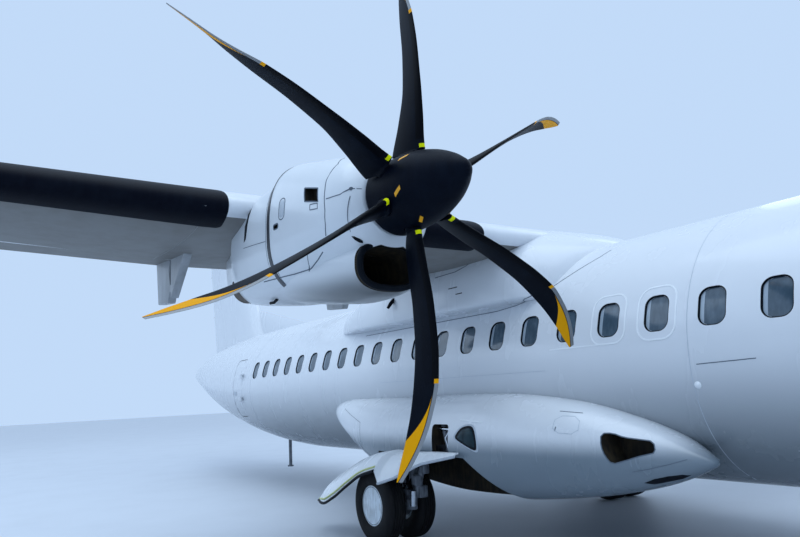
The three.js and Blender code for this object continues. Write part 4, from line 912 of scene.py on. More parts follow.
wing = {
    "lead": 10502, "height": 3482, "chord": 2570, "ratio": 0.18, "incidence": 2, "breakY": 4900, "tipY": 13525,
    "tipLead": 710, "tipChord": 1590, "tipRatio": 0.13, "dihedral": 2.5, "camber": 0.025,
    "flapShare": 0.74, "flapInner": (1560, 3380), "flapOuter": (4620, 9500), "aileronShare": 0.76,
    "aileron": (9620, 12950), "drop": 330, "tracks": {"inner": (2470,), "outer": (4672, 8400)},
}


def wingAt(y):
    out = max(0.0, abs(y) - wing["breakY"])
    k = out / (wing["tipY"] - wing["breakY"])
    return {"lead": wing["lead"] + wing["tipLead"] * k,
            "height": wing["height"] + math.tan(math.radians(wing["dihedral"])) * out,
            "chord": wing["chord"] + (wing["tipChord"] - wing["chord"]) * k,
            "ratio": wing["ratio"] + (wing["tipRatio"] - wing["ratio"]) * k, "tilt": math.radians(wing["incidence"])}


def onWing(y, loop):
    w = wingAt(y)
    c, s = math.cos(w["tilt"]), math.sin(w["tilt"])
    loop = np.asarray(loop, float)
    x = [aft(w["lead"] + a * c + u * s) for a, u in loop]
    z = (w["height"] - loop[:, 0] * s + loop[:, 1] * c) * mm
    return np.column_stack([x, np.full(len(loop), y * mm), z])


def wingRings(ys, shape):
    return [onWing(y, shape(wingAt(y))) for y in ys]


def underMarks(rows, count):
    # the lower half of each section, from behind its nose, takes the second material
    half = count // 2
    return [1 if half + 3 <= k < count - 1 else 0 for _ in range(rows - 1) for k in range(count)]


def wingSection(w):
    return foilLoop(w["chord"], w["ratio"], wing["camber"])


def flapBay(span, share, side, margin=8):
    ys = [side * (span[0] - margin), side * (span[1] + margin)]
    return loftObject("bayCutter", wingRings(ys, lambda w: bayLoop(w["chord"], w["ratio"], wing["camber"], share)), [])


def surfaceSection(w, share):
    chord, ratio, camber = w["chord"], w["ratio"], wing["camber"]
    centre, up, radius = share * chord, float(camberLine(share, camber)) * chord, ratio * foilHalf(share) * chord
    angle = np.radians(np.linspace(90, 270, 17))
    nose = np.stack([centre + radius * np.cos(angle), up + radius * np.sin(angle)], 1)
    xs = share + (1 - share) * np.linspace(0.08, 0.95, 12)
    lower, upper = (np.stack([x * chord, (camberLine(x, camber) + sign * ratio * foilHalf(x)) * chord], 1)
                    for x, sign in ((xs, -1), (xs[::-1], 1)))
    tail = float(camberLine(1.0, camber)) * chord
    return np.concatenate([nose, lower, [[chord - 2, tail - 2], [chord - 2, tail + 2]], upper])


def pivotAt(y, side):
    w, share = wingAt(y), wing["flapShare"]
    chord, middle = w["chord"], float(camberLine(share, wing["camber"]))
    up = middle * chord - w["ratio"] * foilHalf(share) * chord - wing["drop"]
    return onWing(side * y, [[share * chord, up]])[0]


track = {
    "half": 0.045, "edge": 0.007, "pin": 0.041, "pinHalf": 0.044,
    "front": [(0.008, -0.109), (0.520, 0.295), (0.520, 0.425), (0.008, 0.425)],
    "rear": [(-0.010, 0.005), (-0.118, -0.149), (-0.530, -0.115), (-0.645, 0.383), (-0.070, 0.390), (-0.070, 0.160)],
}


def trackPiece(name, y, side, span, front, material):
    # a flap track's fairing: the front is fixed under the wing, the rear turns with the flap
    start, end = pivotAt(span[0], side), pivotAt(span[1], side)
    pivot = start + (end - start) * (y - span[0]) / (span[1] - span[0])
    loop = np.array(track["front" if front else "rear"]) + np.array([pivot[0], pivot[2]])
    piece = bevelled(prismAlongY(name, loop, pivot[1] - track["half"], pivot[1] + track["half"], [material]),
                     track["edge"], 3)
    if front:
        return carve(piece, [flapBay(span, wing["flapShare"], side)])
    return joined(name, [piece, drum("trackPin", track["pin"], -track["pinHalf"], track["pinHalf"], "y", pivot, 32,
                                     material)])


wingTip = [
    # place outboard, share of the chord and how far it is set back
    [13101, 1, 0], [13200, 0.97, 25], [13300, 0.9, 70], [13380, 0.8, 140], [13430, 0.72, 210], [13475, 0.58, 305],
    [13500, 0.45, 420], [13518, 0.3, 550], [13525, 0.16, 660],
]


def makeWing():
    places = {"inner": wing["flapInner"], "outer": wing["flapOuter"]}
    bays = [flapBay(span, wing["flapShare"], side) for side in (1, -1) for span in places.values()]
    centre = loftObject("wingCentre", wingRings([-4899, -4000, -1200, 1200, 4000, 4899], wingSection),
                        [skinWing, wingUnder], underMarks)
    tracks = [trackPiece("innerTrack", wing["tracks"][place][0], side, span, True, trackGrey)
              for side in (1, -1) for place, span in places.items()]
    settle(joined("wingCentreBody", [carve(centre, bays)] + tracks), "airframe", ("wing_centre",))
    for hand, side in sides.items():
        ys = [side * y for y in (4901, 7000, 9560, 11500, 13099)]
        outer = loftObject("wingOuter", wingRings(ys, wingSection), [skinWing, wingUnder], underMarks)
        carve(outer, [flapBay(wing["flapOuter"], wing["flapShare"], side),
                      flapBay(wing["aileron"], wing["aileronShare"], side)])
        tracks = [trackPiece("outerTrack", y, side, wing["flapOuter"], True, trackGrey)
                  for y in wing["tracks"]["outer"][1:]]
        settle(joined("wingOuterBody." + hand, [outer] + tracks), "airframe", ("wing_outer_" + hand,))
        rings = []
        for y, share, back in wingTip:
            loop = foilLoop(wingAt(y)["chord"] * share, wingAt(y)["ratio"], wing["camber"])
            rings.append(onWing(side * y, loop + np.array([back, 0])))
        tip = loftObject("wingTip." + hand, rings, [skinWing], angle=50)
        settle(tip, "airframe", ("wing_tip_" + hand,))
        for place, span in places.items():
            ys = [side * y for y in np.linspace(span[0], span[1], 4)]
            flap = loftObject("flap", wingRings(ys, lambda w: surfaceSection(w, wing["flapShare"])),
                              [skinWing, wingUnder],
                              lambda rows, count: [int(17 <= k < 29) for _ in range(rows - 1) for k in range(count)])
            rears = [trackPiece("trackRear", y, side, span, False, trackGrey) for y in wing["tracks"][place]]
            body = f"flap_{place}_{hand}"
            settle(joined(f"{place}Flap.{hand}", [flap] + rears), body, (body,))


boots = {"proud": 4, "sunk": 3, "reach": 0.10, "outer": [(4700, 9050), (9080, 13080)], "inner": [(1740, 3420)]}


def bootPiece(name, span, side, section, place):
    ys = np.concatenate([[span[0], span[0] + 12, span[0] + 40], np.linspace(span[0] + 150, span[1] - 150, 10),
                         [span[1] - 40, span[1] - 12, span[1]]])
    rings = []
    for i, y in enumerate(ys):
        ease = min(1.0, 0.25 + 0.75 * min(i, len(ys) - 1 - i) / 2)  # thinner and shorter at both ends
        reach = boots["reach"] * (0.82 + 0.18 * ease)
        outer, inner = section(y, reach, boots["proud"] * ease + 0.3), section(y, reach, -boots["sunk"])
        rings.append(np.concatenate([place(side * y, outer), place(side * y, inner[::-1])]))
    return loftObject(name, rings, [bootRubber], angle=60)


def makeBoots():
    def section(y, reach, proud):
        w = wingAt(y)
        return noseSkin(w["chord"], w["ratio"], wing["camber"], reach, proud)
    for hand, side in sides.items():
        parts = [bootPiece("boot", span, side, section, onWing) for span in boots["outer"] + boots["inner"]]
        settle(joined("wingBoots." + hand, parts), "airframe")


makeWing()
makeBoots()
print("wing made")


# fairing, pods and nacelles
bodyHulls = {
    "fairing": [[9720, 3290, 2700, 2760, 420, 2.2, 6], [10120, 3480, 2700, 2780, 1120, 2.3, 6],
                [10500, 3620, 2700, 2800, 1395, 2.5, 6], [11200, 3775, 2700, 2800, 1452, 2.7, 6],
                [12200, 3780, 2700, 2800, 1456, 2.7, 6], [13200, 3690, 2700, 2800, 1452, 2.6, 6],
                [14000, 3550, 2715, 2800, 1420, 2.4, 6], [14900, 3385, 2730, 2800, 1200, 2.2, 6]],
    "pod": [[8272, 1054, 1046, 1050, 8, 2, 2], [8280, 1070, 1030, 1050, 34, 2, 2],
            [8300, 1088, 1012, 1050, 62, 2.2, 2.2], [8900, 1400, 790, 1090, 350, 2.3, 2.4],
            [9700, 1600, 640, 1110, 520, 2.4, 2.6], [10700, 1690, 540, 1110, 600, 2.5, 2.8],
            [11700, 1700, 510, 1110, 620, 2.5, 2.8], [12700, 1685, 580, 1130, 600, 2.4, 2.6],
            [13500, 1690, 850, 1230, 510, 2.4, 2.5], [14100, 1690, 1090, 1370, 400, 2.3, 2.4],
            [14500, 1670, 1270, 1450, 290, 2.2, 2.2], [14720, 1620, 1390, 1500, 180, 2, 2],
            [14790, 1560, 1450, 1505, 80, 2, 2]],
    "nacelle": [[8790, 3396, 2866, 3131, 264, 2, 2], [8802, 3414, 2848, 3131, 283, 2, 2],
                [8900, 3480, 2755, 3115, 370, 2.2, 2.1], [9200, 3590, 2640, 3090, 465, 2.3, 2.3],
                [9580, 3675, 2570, 3090, 505, 2.6, 2.5], [9880, 3735, 2562, 3095, 524, 2.8, 2.7],
                [9915, 3735, 2560, 3095, 525, 2.8, 2.7], [9960, 3705, 2562, 3097, 520, 2.7, 2.7],
                [10280, 3690, 2570, 3100, 512, 2.5, 2.6], [10980, 3715, 2645, 3120, 455, 2.5, 2.5],
                [11380, 3690, 2705, 3150, 320, 2.4, 2.4], [11800, 3620, 2790, 3200, 190, 2.2, 2.2],
                [12300, 3500, 2960, 3250, 60, 2, 2]],
    "chin": [[8903, 2846, 2485, 2666, 268, 2.6, 2.6], [9040, 2872, 2458, 2668, 310, 2.5, 2.5],
             [9300, 2890, 2452, 2680, 362, 2.4, 2.4], [9700, 2890, 2492, 2700, 400, 2.3, 2.4],
             [10280, 2880, 2572, 2740, 360, 2.2, 2.2]],
}
gear = {"x": 1.421, "y": 2.05, "wheel": 0.432, "width": 0.254, "spread": 0.215, "rim": 0.215,
        "noseX": 12.163, "noseWheel": 0.225, "noseWidth": 0.19, "noseSpread": 0.19, "noseRim": 0.112}
prop = {"x": 5.011, "y": 4.05, "z": 3.131, "radius": 1965, "blades": 6, "phase": 0.25}


fairingMarks = {
    "lines": [([(-0.5, 2.655), (2.63, 2.655), (2.95, 2.682), (3.25, 2.735), (3.48, 2.84), (3.70, 2.965), (3.93, 3.10),
                (4.0, 3.172)], 0.011, seamDark),
              ([(1.634, 3.223), (1.853, 3.226), (2.064, 3.229), (2.268, 3.271), (2.45, 3.34)], 0.011, seamDark),
              ([(2.12, 2.93), (2.25, 2.93)], 0.012, gasketBlack), ([(1.97, 3.02), (2.15, 3.02)], 0.012, gasketBlack)],
    "mast": [(0.64, 3.07, -0.01), (0.66, 3.0, 0.05), (0.62, 2.94, 0.07)],
}


def makeFairing():
    rows = bodyHulls["fairing"]
    piece = hullPiece("wingRootFairing", rows, spread([9720, 9800, 10500, 14900], 110), 0, 96, [skinWhite])
    span, trim = (wing["flapInner"][0] - 300, wing["flapInner"][1]), []
    carve(piece, [flapBay(span, wing["flapShare"], side) for side in (1, -1)])
    for side in (1, -1):
        trim += [skinLine("fairing", line, width, finish, side) for line, width, finish in fairingMarks["lines"]]
        mast = [skinSpot("fairing", x, z, side, lift)[0] for x, z, lift in fairingMarks["mast"]]
        trim.append(tubeObject("drainMast", mast, (0.03, 0.026, 0.02), 12, [gasketBlack]))
    settle(joined("wingRootFairing", [piece] + trim), "airframe", ("wing_fairing",))


pod = {"y": 1290, "inner": 1.18, "outer": 2.2, "behind": 0.62, "ahead": 1.03, "rake": 1.28, "low": 0.30, "roof": 1.12,
       "skirt": 1.85, "sill": 1.005, "slotFrom": 0.65, "slotTo": 0.96, "slotInner": 1.65, "slotTop": 1.365}
podInside = [
    # bars behind the pod's slot: points ahead of the axle, outboard and up, then radius, facets and finish
    ("strap", [(0.63, 1.80, 1.31), (0.98, 1.80, 1.30)], 0.02, 12, brightSteel),
    ("slotLink", [(0.70, 1.74, 1.36), (0.84, 1.78, 1.06)], 0.045, 16, gearSteel),
    ("slotPipe", [(0.90, 1.76, 1.36), (0.78, 1.80, 1.20), (0.90, 1.82, 1.02)], 0.014, 10, brightSteel),
]


def wellCutter(roof, inner, outer, side):
    x = gear["x"]
    rake = pod["rake"] * (pod["roof"] - roof) / (pod["roof"] - pod["low"])
    loop = np.array([(x - pod["behind"], pod["low"]), (x + pod["ahead"] + pod["rake"], pod["low"]),
                     (x + pod["ahead"] + rake, roof), (x - pod["behind"], roof)])
    return prismAlongY("well", loop, side * inner, side * outer, [recessShade])


podMarks = {
    "lamp": [(2.504, 1.224), (2.562, 1.290), (2.632, 1.340), (2.773, 1.358), (2.841, 1.311), (2.873, 1.207),
             (2.882, 1.108), (2.840, 1.093), (2.726, 1.128), (2.566, 1.188)],
    "inlet": [(4.420, 1.297), (4.522, 1.300), (4.630, 1.262), (4.764, 1.246), (4.876, 1.229), (4.904, 1.138),
              (4.830, 1.118), (4.754, 1.100), (4.643, 1.062), (4.521, 1.028), (4.466, 1.098), (4.432, 1.185)],
    "lens": [(4.732, 0.869), (4.835, 0.909), (4.955, 0.938), (5.060, 0.953), (5.106, 0.946), (5.033, 0.914),
             (4.946, 0.892), (4.793, 0.856)],
    "panel": [(3.911, 1.458), (4.171, 1.445), (4.200, 1.286), (3.911, 1.301)],
    "strip": [(2.570, 1.418), (2.943, 1.393)],
    "lines": [([(3.913, 1.498), (4.161, 1.476)], 0.008), ([(3.94, 1.315), (3.945, 1.355)], 0.012),
              ([(4.688, 0.968), (4.836, 0.998), (4.992, 1.039), (5.128, 1.082)], 0.006),
              ([(0.20, 1.36), (0.20, 0.95)], 0.006), ([(0.20, 1.36), (-0.55, 1.55)], 0.006)],
}


def shrunk(outline, share):
    outline = np.array(outline, float)
    return outline.mean(0) + (outline - outline.mean(0)) * share


def makePods():
    stations = spread([8272, 8275, 8280, 8290, 8300, 8330, 8420, 8600, 9700, 13500, 14500, 14720, 14760, 14790], 90)
    x, marks = gear["x"], podMarks
    inlet = eased(marks["inlet"], 1)
    slot = roundedLoop(x + pod["slotFrom"], x + pod["slotTo"], pod["sill"] - 0.05, pod["slotTop"], 0.045)
    for hand, side in sides.items():
        piece = hullPiece("gearPod." + hand, bodyHulls["pod"], stations, side * pod["y"], 80, [skinPod, recessShade])
        carve(piece, [wellCutter(pod["roof"], pod["inner"], pod["skirt"], side),
                      wellCutter(pod["sill"], pod["inner"], pod["outer"], side),
                      prismAlongY("slot", slot, side * pod["slotInner"], side * pod["outer"], [recessShade]),
                      skinHole("pod", inlet, side, 0.10)])
        parts = [piece, skinLine("pod", inlet, 0.010, seamDark, side, True)]
        for name, path, radius, facets, finish in podInside:
            spots = [(x + ahead, side * out, z) for ahead, out, z in path]
            parts.append(tubeObject(name, spots, radius, facets, [finish]))
        for share, finish, proud, dome in ((1.16, seamSoft, 0.004, 0), (1.02, gasketBlack, 0.0055, 0),
                                           (0.82, lensTeal, 0.006, 0.008)):
            parts.append(skinPatch("pod", eased(shrunk(marks["lamp"], share)), finish, side, proud, dome))
        parts.append(skinPatch("pod", marks["lens"], gasketBlack, side, 0.002))
        parts += [skinLine("pod", line, width, seamDark, side) for line, width in marks["lines"]]
        parts.append(skinLine("pod", eased(marks["panel"], 1), 0.006, seamSoft, side, True))
        parts.append(skinLine("pod", marks["strip"], 0.018, seamLight, side, False, 0.006))
        settle(joined("gearPod." + hand, parts), "airframe", ("gear_pod_" + hand,))


nacelle = {"front": 4.680, "back": 4.463, "deep": 4.05, "z": 2.666, "half": 0.236, "high": 0.148, "lip": 0.024,
           "rubber": 8932, "band": [9885, 9889, 9947, 9951], "drain": [(3.24, 2.615), (3.17, 2.595), (3.09, 2.60)]}
exhaust = {"radius": 0.150, "wall": 0.012, "room": 0.0015, "from": (11060, 2920), "to": (11450, 2875), "out": 0.140,
           "trough": 0.420}


def ovalLoop(half, high, count=56, power=2.6):
    a = np.arange(count) * 2 * np.pi / count
    c, s = np.cos(a), np.sin(a)
    return np.stack([half * np.sign(c) * np.abs(c) ** (2 / power), high * np.sign(s) * np.abs(s) ** (2 / power)], 1)


def exhaustTube(name, side, radius, ahead, behind, materials):
    y = side * (prop["y"] + exhaust["out"])
    start, end = (np.array([aft(s), y, z * mm]) for s, z in (exhaust["from"], exhaust["to"]))
    along = (end - start) / np.linalg.norm(end - start)
    return tubeObject(name, [start - along * ahead, end + along * behind], radius, 48, materials)


nacelleMarks = {
    "seams": [([(4.399, 3.558), (4.486, 3.466), (4.494, 3.391), (4.492, 3.324), (4.508, 3.240), (4.520, 3.084),
                (4.506, 2.976), (4.479, 2.901)], 0.007),
              ([(4.531, 3.165), (4.657, 3.170), (4.728, 3.200), (4.785, 3.189)], 0.007),
              ([(4.729, 3.144), (4.700, 3.02), (4.670, 2.897)], 0.004),
              ([(3.345, 2.744), (3.506, 2.734), (3.681, 2.722), (3.928, 2.714), (4.15, 2.717), (4.281, 2.762),
                (4.378, 2.804)], 0.009),
              ([(3.726, 2.80), (3.70, 2.66)], 0.006), ([(4.211, 2.82), (4.127, 2.70)], 0.006),
              ([(3.60, 3.52), (3.60, 2.76)], 0.005), ([(3.02, 3.10), (3.60, 3.04)], 0.005)],
    "holes": [([(4.234, 3.329), (4.421, 3.278), (4.446, 3.165), (4.270, 3.209)], 0.05),
              (roundedLoop(3.773, 3.855, 3.095, 3.137, 0.018), 0.03)],
    "covers": [roundedLoop(3.866, 3.960, 3.153, 3.327, 0.04),
               [(4.347, 3.166), (4.440, 3.155), (4.440, 3.113), (4.347, 3.124)],
               roundedLoop(4.722, 4.738, 3.192, 3.208, 0.007)],
    # a black teardrop patch in the notch where the chin duct meets the cowl above the intake: painted shade
    "drop": [(4.648, 2.885), (4.672, 2.880), (4.700, 2.850), (4.705, 2.825), (4.690, 2.805), (4.668, 2.815),
             (4.652, 2.845)],
    # a black patch on the nacelle at its joint with the wing: painted shadow
    "wedgeShadow": [(3.085, 3.46), (3.105, 3.36), (3.11, 3.24), (3.09, 3.17), (3.04, 3.15), (3.035, 3.30), (3.05, 3.42)],
}


def flankLine(points, width, material, side, sign):
    # a line on a nacelle's outboard flank, or mirrored onto its inboard one
    line = skinLine("nacelle", points, width, material, side)
    if sign != side:
        mirror = Matrix.Translation((0, 2 * side * prop["y"], 0)) @ Matrix.Scale(-1, 4, (0, 1, 0))
        line.data.transform(mirror)
        outward(line)
    return line


def makeNacelles():
    marks = nacelleMarks
    for hand, side in sides.items():
        y = side * prop["y"]
        middleY, cowlRows = y / mm, bodyHulls["nacelle"]
        piece = hullPiece("nacelleCowl", cowlRows, spread([8790, 8800, 8830, 8900, 9200, 12300], 70), middleY, 96,
                          [skinNacelle, recessShade])
        chin = hullPiece("chinDuct", bodyHulls["chin"], spread([8903, 8906, nacelle["rubber"], 9200, 10280], 60),
                         middleY, 96, [skinNacelle, gasketBlack])
        rubber = [int(polygon.center.x > aft(nacelle["rubber"])) for polygon in chin.data.polygons]
        chin.data.polygons.foreach_set("material_index", rubber)
        carve(piece, [chin], "UNION")
        loop = ovalLoop(nacelle["half"], nacelle["high"])
        rings = [np.column_stack([np.full(len(loop), x), y + loop[:, 0] * k, nacelle["z"] + loop[:, 1] * k])
                 for x, k in ((nacelle["front"] + 0.05, 1.0), (nacelle["back"], 0.86), (nacelle["deep"], 0.62))]
        trough = exhaustTube("exhaustTrough", side, exhaust["radius"] + exhaust["room"], 0, exhaust["trough"],
                             [recessShade])
        holes = [skinHole("nacelle", outline, side, depth) for outline, depth in marks["holes"]]
        carve(piece, [loftObject("intakeCutter", rings, [recessShade]), trough] + holes)
        rim = ovalLoop(nacelle["half"] + 0.014, nacelle["high"] + 0.016)
        path = np.column_stack([np.full(len(rim), nacelle["front"] + 0.002), y + rim[:, 0], nacelle["z"] + rim[:, 1]])
        parts = [piece, ringTube("intakeLip", path, nacelle["lip"], 14, [gasketBlack]),
                 hullPiece("firewallBand", cowlRows, nacelle["band"], middleY, 96, [bandDark], 3)]
        parts += [flankLine(line, width, seamDark, side, sign) for sign in (1, -1) for line, width in marks["seams"]]
        for width, outlines in ((0.010, [outline for outline, depth in marks["holes"]]), (0.008, marks["covers"])):
            parts += [skinLine("nacelle", outline, width, seamDark, side, True) for outline in outlines]
        parts += [skinPatch("nacelle", shrunk(marks["covers"][0], 0.8), seamSoft, side, 0.003),
                  skinPatch("cowl", shrunk(marks["drop"], 0.62), gasketBlack, side, 0.004),
                  skinPatch("nacelle", marks["wedgeShadow"], gasketBlack, side, 0.003)]
        drain = [(x, y + side * 0.27, z) for x, z in nacelle["drain"]]
        parts.append(tubeObject("drainPipe", drain, 0.014, 12, [gasketBlack]))
        settle(joined("nacelle." + hand, parts), "airframe", ("nacelle_" + hand,))
        pipe = exhaustTube("exhaustPipe." + hand, side, exhaust["radius"], 0.001, 0, [exhaustMetal])
        carve(pipe, [exhaustTube("bore", side, exhaust["radius"] - exhaust["wall"], -0.05, 0.05, [exhaustMetal])])
        settle(pipe, "airframe", ("exhaust_" + hand,))


def ringTube(name, path, radius, facets, materials):
    # a closed tube along a closed path
    path = np.asarray(path, float)
    along = np.roll(path, -1, 0) - np.roll(path, 1, 0)
    along /= np.linalg.norm(along, axis=1, keepdims=True)
    middle = path.mean(0)
    turn = np.arange(facets) * 2 * np.pi / facets
    points = []
    for p, t in zip(path, along):
        out = p - middle
        out -= t * (out @ t)
        out /= np.linalg.norm(out)
        up = np.cross(t, out)
        points += list(p + radius * (np.cos(turn)[:, None] * out + np.sin(turn)[:, None] * up))
    n, faces = len(path), []
    for r in range(n):
        here, after = r * facets, (r + 1) % n * facets
        faces += [(here + k, here + (k + 1) % facets, after + (k + 1) % facets, after + k) for k in range(facets)]
    return makeObject(name, points, faces, materials, None, 60)


makeFairing()
makePods()
makeNacelles()
print("fairing, pods and nacelles made")


# propellers
blade = {
    # radius, chord, thickness, sweep and twist, as the CAD blade has them
    "rows": [[150, 124, 124, 0, 20], [276, 124, 118, 0, 20], [294, 300, 74, -12, 17], [550, 269, 52, 27, 6],
             [800, 236, 36, 66, -2], [1050, 231, 27, 74, -6.5], [1300, 229, 21, 50, -11], [1500, 190, 15, 0, -18],
             [1700, 143, 10, -68, -26], [1850, 98, 7, -138, -27], [1965, 46, 5, -198, -27]],
    "root": 276, "step": 294, "stepChords": (124, 300),  # the round shank ends and the blade begins
}
bladePaint = {
    # metres from the hub and shares of the chord, 0 at the leading edge
    "edgeFrom": 1.33, "edgeWidth": 0.030, "lineWidth": 0.006, "edgeMetal": 0.8, "tipAtEdge": 1.30,
    "tipRise": 0.40, "tipStart": 0.15, "tipSpread": 1.18, "tipPower": 0.34, "bootFrom": 0.36, "bootWidth": 0.055,
    "bandFrom": 0.300, "bandTo": 0.328, "bandShare": 0.10,
}
spinner = {
    # place ahead of the blades' plane and radius, then the round nose's start and end
    "rows": [[-178, 272], [0, 268], [170, 252], [342, 206], [478, 145], [580, 75], [638, 0]], "facets": 96,
    "noseFrom": 560, "noseEnd": 638, "hole": 0.0645,
    "inside": [(0.0, -0.2), (0.255, -0.2), (0.252, 0.0), (0.19, 0.34), (0.0, 0.58)],
    "mark": {"from": 150, "to": 215, "middle": 182, "half": 0.055, "turn": 0.24, "skew": 2.3, "proud": 1.4,
             "thickness": 0.0008},
}
hubPlate = [(0.0, -0.195), (0.262, -0.195), (0.268, -0.190), (0.268, -0.182), (0.262, -0.1785), (0.0, -0.1785)]
hubBarrel = [(0.0, -0.2), (0.178, -0.2), (0.18, -0.19), (0.18, 0.18), (0.17, 0.19), (0.0, 0.19)]


def makeBladeFinish():
    # black blade with a de-ice strip, a bare metal edge, an orange tip and a yellow root band, by the blade's own
    # paint attribute
    p = bladePaint
    material = surface("bladeBlack", (0.0008, 0.0024, 0.007), 0.5, dark=(0.006, 0.012, 0.022), dirtScale=3, amount=0.5,
                       bump=0.1, bumpScale=60, drops=0.35, specular=0.07)
    tree = material.node_tree
    shader = tree.nodes["Principled BSDF"].inputs
    read = addNode(tree, "ShaderNodeAttribute", {}, attribute_name="paint")
    split = addNode(tree, "ShaderNodeSeparateXYZ", {0: read.outputs["Vector"]})
    share, radius, width = (split.outputs[k] for k in "XYZ")

    def above(value, limit):
        return mathNode(tree, "GREATER_THAN", value, limit)

    def below(value, limit):
        return mathNode(tree, "LESS_THAN", value, limit)

    def both(a, b):
        return mathNode(tree, "MULTIPLY", a, b)

    fromEdge = mathNode(tree, "MULTIPLY", mathNode(tree, "SUBTRACT", share, p["tipStart"]), p["tipSpread"], True)
    rise = both(mathNode(tree, "POWER", fromEdge, p["tipPower"]), p["tipRise"])
    isTip = above(radius, mathNode(tree, "ADD", rise, p["tipAtEdge"]))
    outer, inner = above(radius, p["edgeFrom"]), below(radius, p["edgeFrom"])
    isEdge = both(outer, below(width, p["edgeWidth"]))
    isLine = both(outer, below(width, p["edgeWidth"] + p["lineWidth"]))
    isBoot = both(both(above(radius, p["bootFrom"]), inner), below(width, p["bootWidth"]))
    isBand = both(both(above(radius, p["bandFrom"]), below(radius, p["bandTo"])), below(share, p["bandShare"]))
    look = shader["Base Color"].links[0].from_socket
    for mask, paint in ((isBoot, (0.0004, 0.001, 0.003)), (isTip, (0.93, 0.40, 0.002)), (isLine, (0.002, 0.003, 0.005)),
                        (isEdge, (0.30, 0.31, 0.32)), (isBand, (0.93, 0.97, 0.003))):
        look = paintOver(tree, look, mask, paint)
    tree.links.new(look, shader["Base Color"])
    tree.links.new(both(isEdge, p["edgeMetal"]), shader["Metallic"])
    return material


bladeBlack = makeBladeFinish()


def bladeRings(turn, count=22):
    root, step, chords = blade["root"], blade["step"], blade["stepChords"]
    radii = np.concatenate([[150, 200, 262, root, 284, 290, step, 300, 322, 352], np.linspace(390, 1930, 46),
                            [1948, 1960, 1965]])
    flare = np.clip((radii - root) / (step - root), 0, 1) ** 0.6
    radial = np.array([0, math.sin(turn), math.cos(turn)])
    ahead = np.array([0, -math.cos(turn), math.sin(turn)])
    a = np.pi * np.arange(2 * count) / count
    share = (1 + np.cos(a)) / 2  # 0 at the leading edge
    rings, paint = [], []
    for r, (chord, thick, sweep, twist), f in zip(radii, smoothTable(blade["rows"], radii), flare):
        if root < r < step:
            chord = chords[0] + (chords[1] - chords[0]) * f
        pitch = math.radians(90 + twist)
        chordWay = ahead * math.cos(pitch) + np.array([math.sin(pitch), 0, 0])
        fat = np.ones_like(a) if r <= root else 0.9 - 0.25 * np.cos(a)
        along = -(chord / 2) * np.cos(a) + sweep
        across = thick / 2 * np.sin(a) * fat
        rings.append((radial * r + along[:, None] * chordWay + across[:, None] * np.cross(chordWay, radial)) * mm)
        paint.append(np.stack([share, np.full(2 * count, r * mm), share * chord * mm], 1))
    return np.array(rings), np.array(paint)


def makePropellers():
    turns = [math.radians(prop["phase"] + 360 / prop["blades"] * k) for k in range(prop["blades"])]
    blades = [bladeRings(turn) for turn in turns]
    noseFrom, noseEnd = spinner["noseFrom"], spinner["noseEnd"]
    xs = np.concatenate([[-178, -174], np.linspace(-165, noseFrom, 40), [585, 600, 615, 626, 634, noseEnd]])
    radii, tip = smoothTable(spinner["rows"], xs)[:, 0], xs > noseFrom
    ease = np.sqrt(np.clip((noseEnd - xs[tip]) / (noseEnd - noseFrom), 0, 1))
    radii[tip] = ease * smoothTable(spinner["rows"], [noseFrom])[0, 0]
    radii[0] -= 4
    profile = [(0.0, xs[0] * mm)] + [(max(r, 0.4) * mm, x * mm) for r, x in zip(radii, xs)]
    for hand, side in sides.items():
        centre, body = np.array([prop["x"], side * prop["y"], prop["z"]]), "propeller_" + hand
        parts = [loftObject("blade", rings + centre, [bladeBlack], angle=50) for rings, _ in blades]
        parts += [latheObject("hubPlate", hubPlate, "x", centre, 72, [gearSteel]),
                  latheObject("hubBarrel", hubBarrel, "x", centre, 48, [engineMetal]),
                  drum("shaft", 0.08, -0.42, -0.17, "x", centre, 32, brightSteel)]
        whole = joined("propellerBlades." + hand, parts)
        values = np.zeros((len(whole.data.vertices), 3), np.float32)
        paints = np.concatenate([paint.reshape(-1, 3) for _, paint in blades])
        values[:len(paints)] = paints
        whole.data.attributes.new("paint", "FLOAT_VECTOR", "POINT").data.foreach_set("vector", values.ravel())
        settle(whole, body, (body,))
        shell = latheObject("spinnerShell", profile, "x", centre, spinner["facets"], [spinnerBlack], angle=45)
        holes = [tubeObject("hole", [centre, centre + 0.42 * np.array([0, math.sin(turn), math.cos(turn)])],
                            spinner["hole"], 32, [spinnerBlack]) for turn in turns]
        carve(shell, [latheObject("inner", spinner["inside"], "x", centre, 64, [spinnerBlack])] + holes)
        marks = [spinnerMark(centre, turn) for turn in turns]
        settle(joined("spinnerShell." + hand, [shell] + marks), body, ("spinner_" + hand,))


def spinnerMark(centre, turn):
    # an orange patch on the spinner, ahead of a blade's root
    mark = spinner["mark"]
    xs = np.linspace(mark["from"], mark["to"], 5)
    grid = []
    for x, r in zip(xs, smoothTable(spinner["rows"], xs)[:, 0] + mark["proud"]):
        across = np.linspace(-mark["half"], mark["half"], 7)
        angles = turn + across + mark["turn"] + (x - mark["middle"]) * mm * mark["skew"]
        grid.append([centre + np.array([x, r * math.sin(a), r * math.cos(a)]) * mm for a in angles])
    return sheetObject("mark", np.array(grid)[:, ::-1], mark["thickness"], [markOrange])


makePropellers()
print("propellers made")


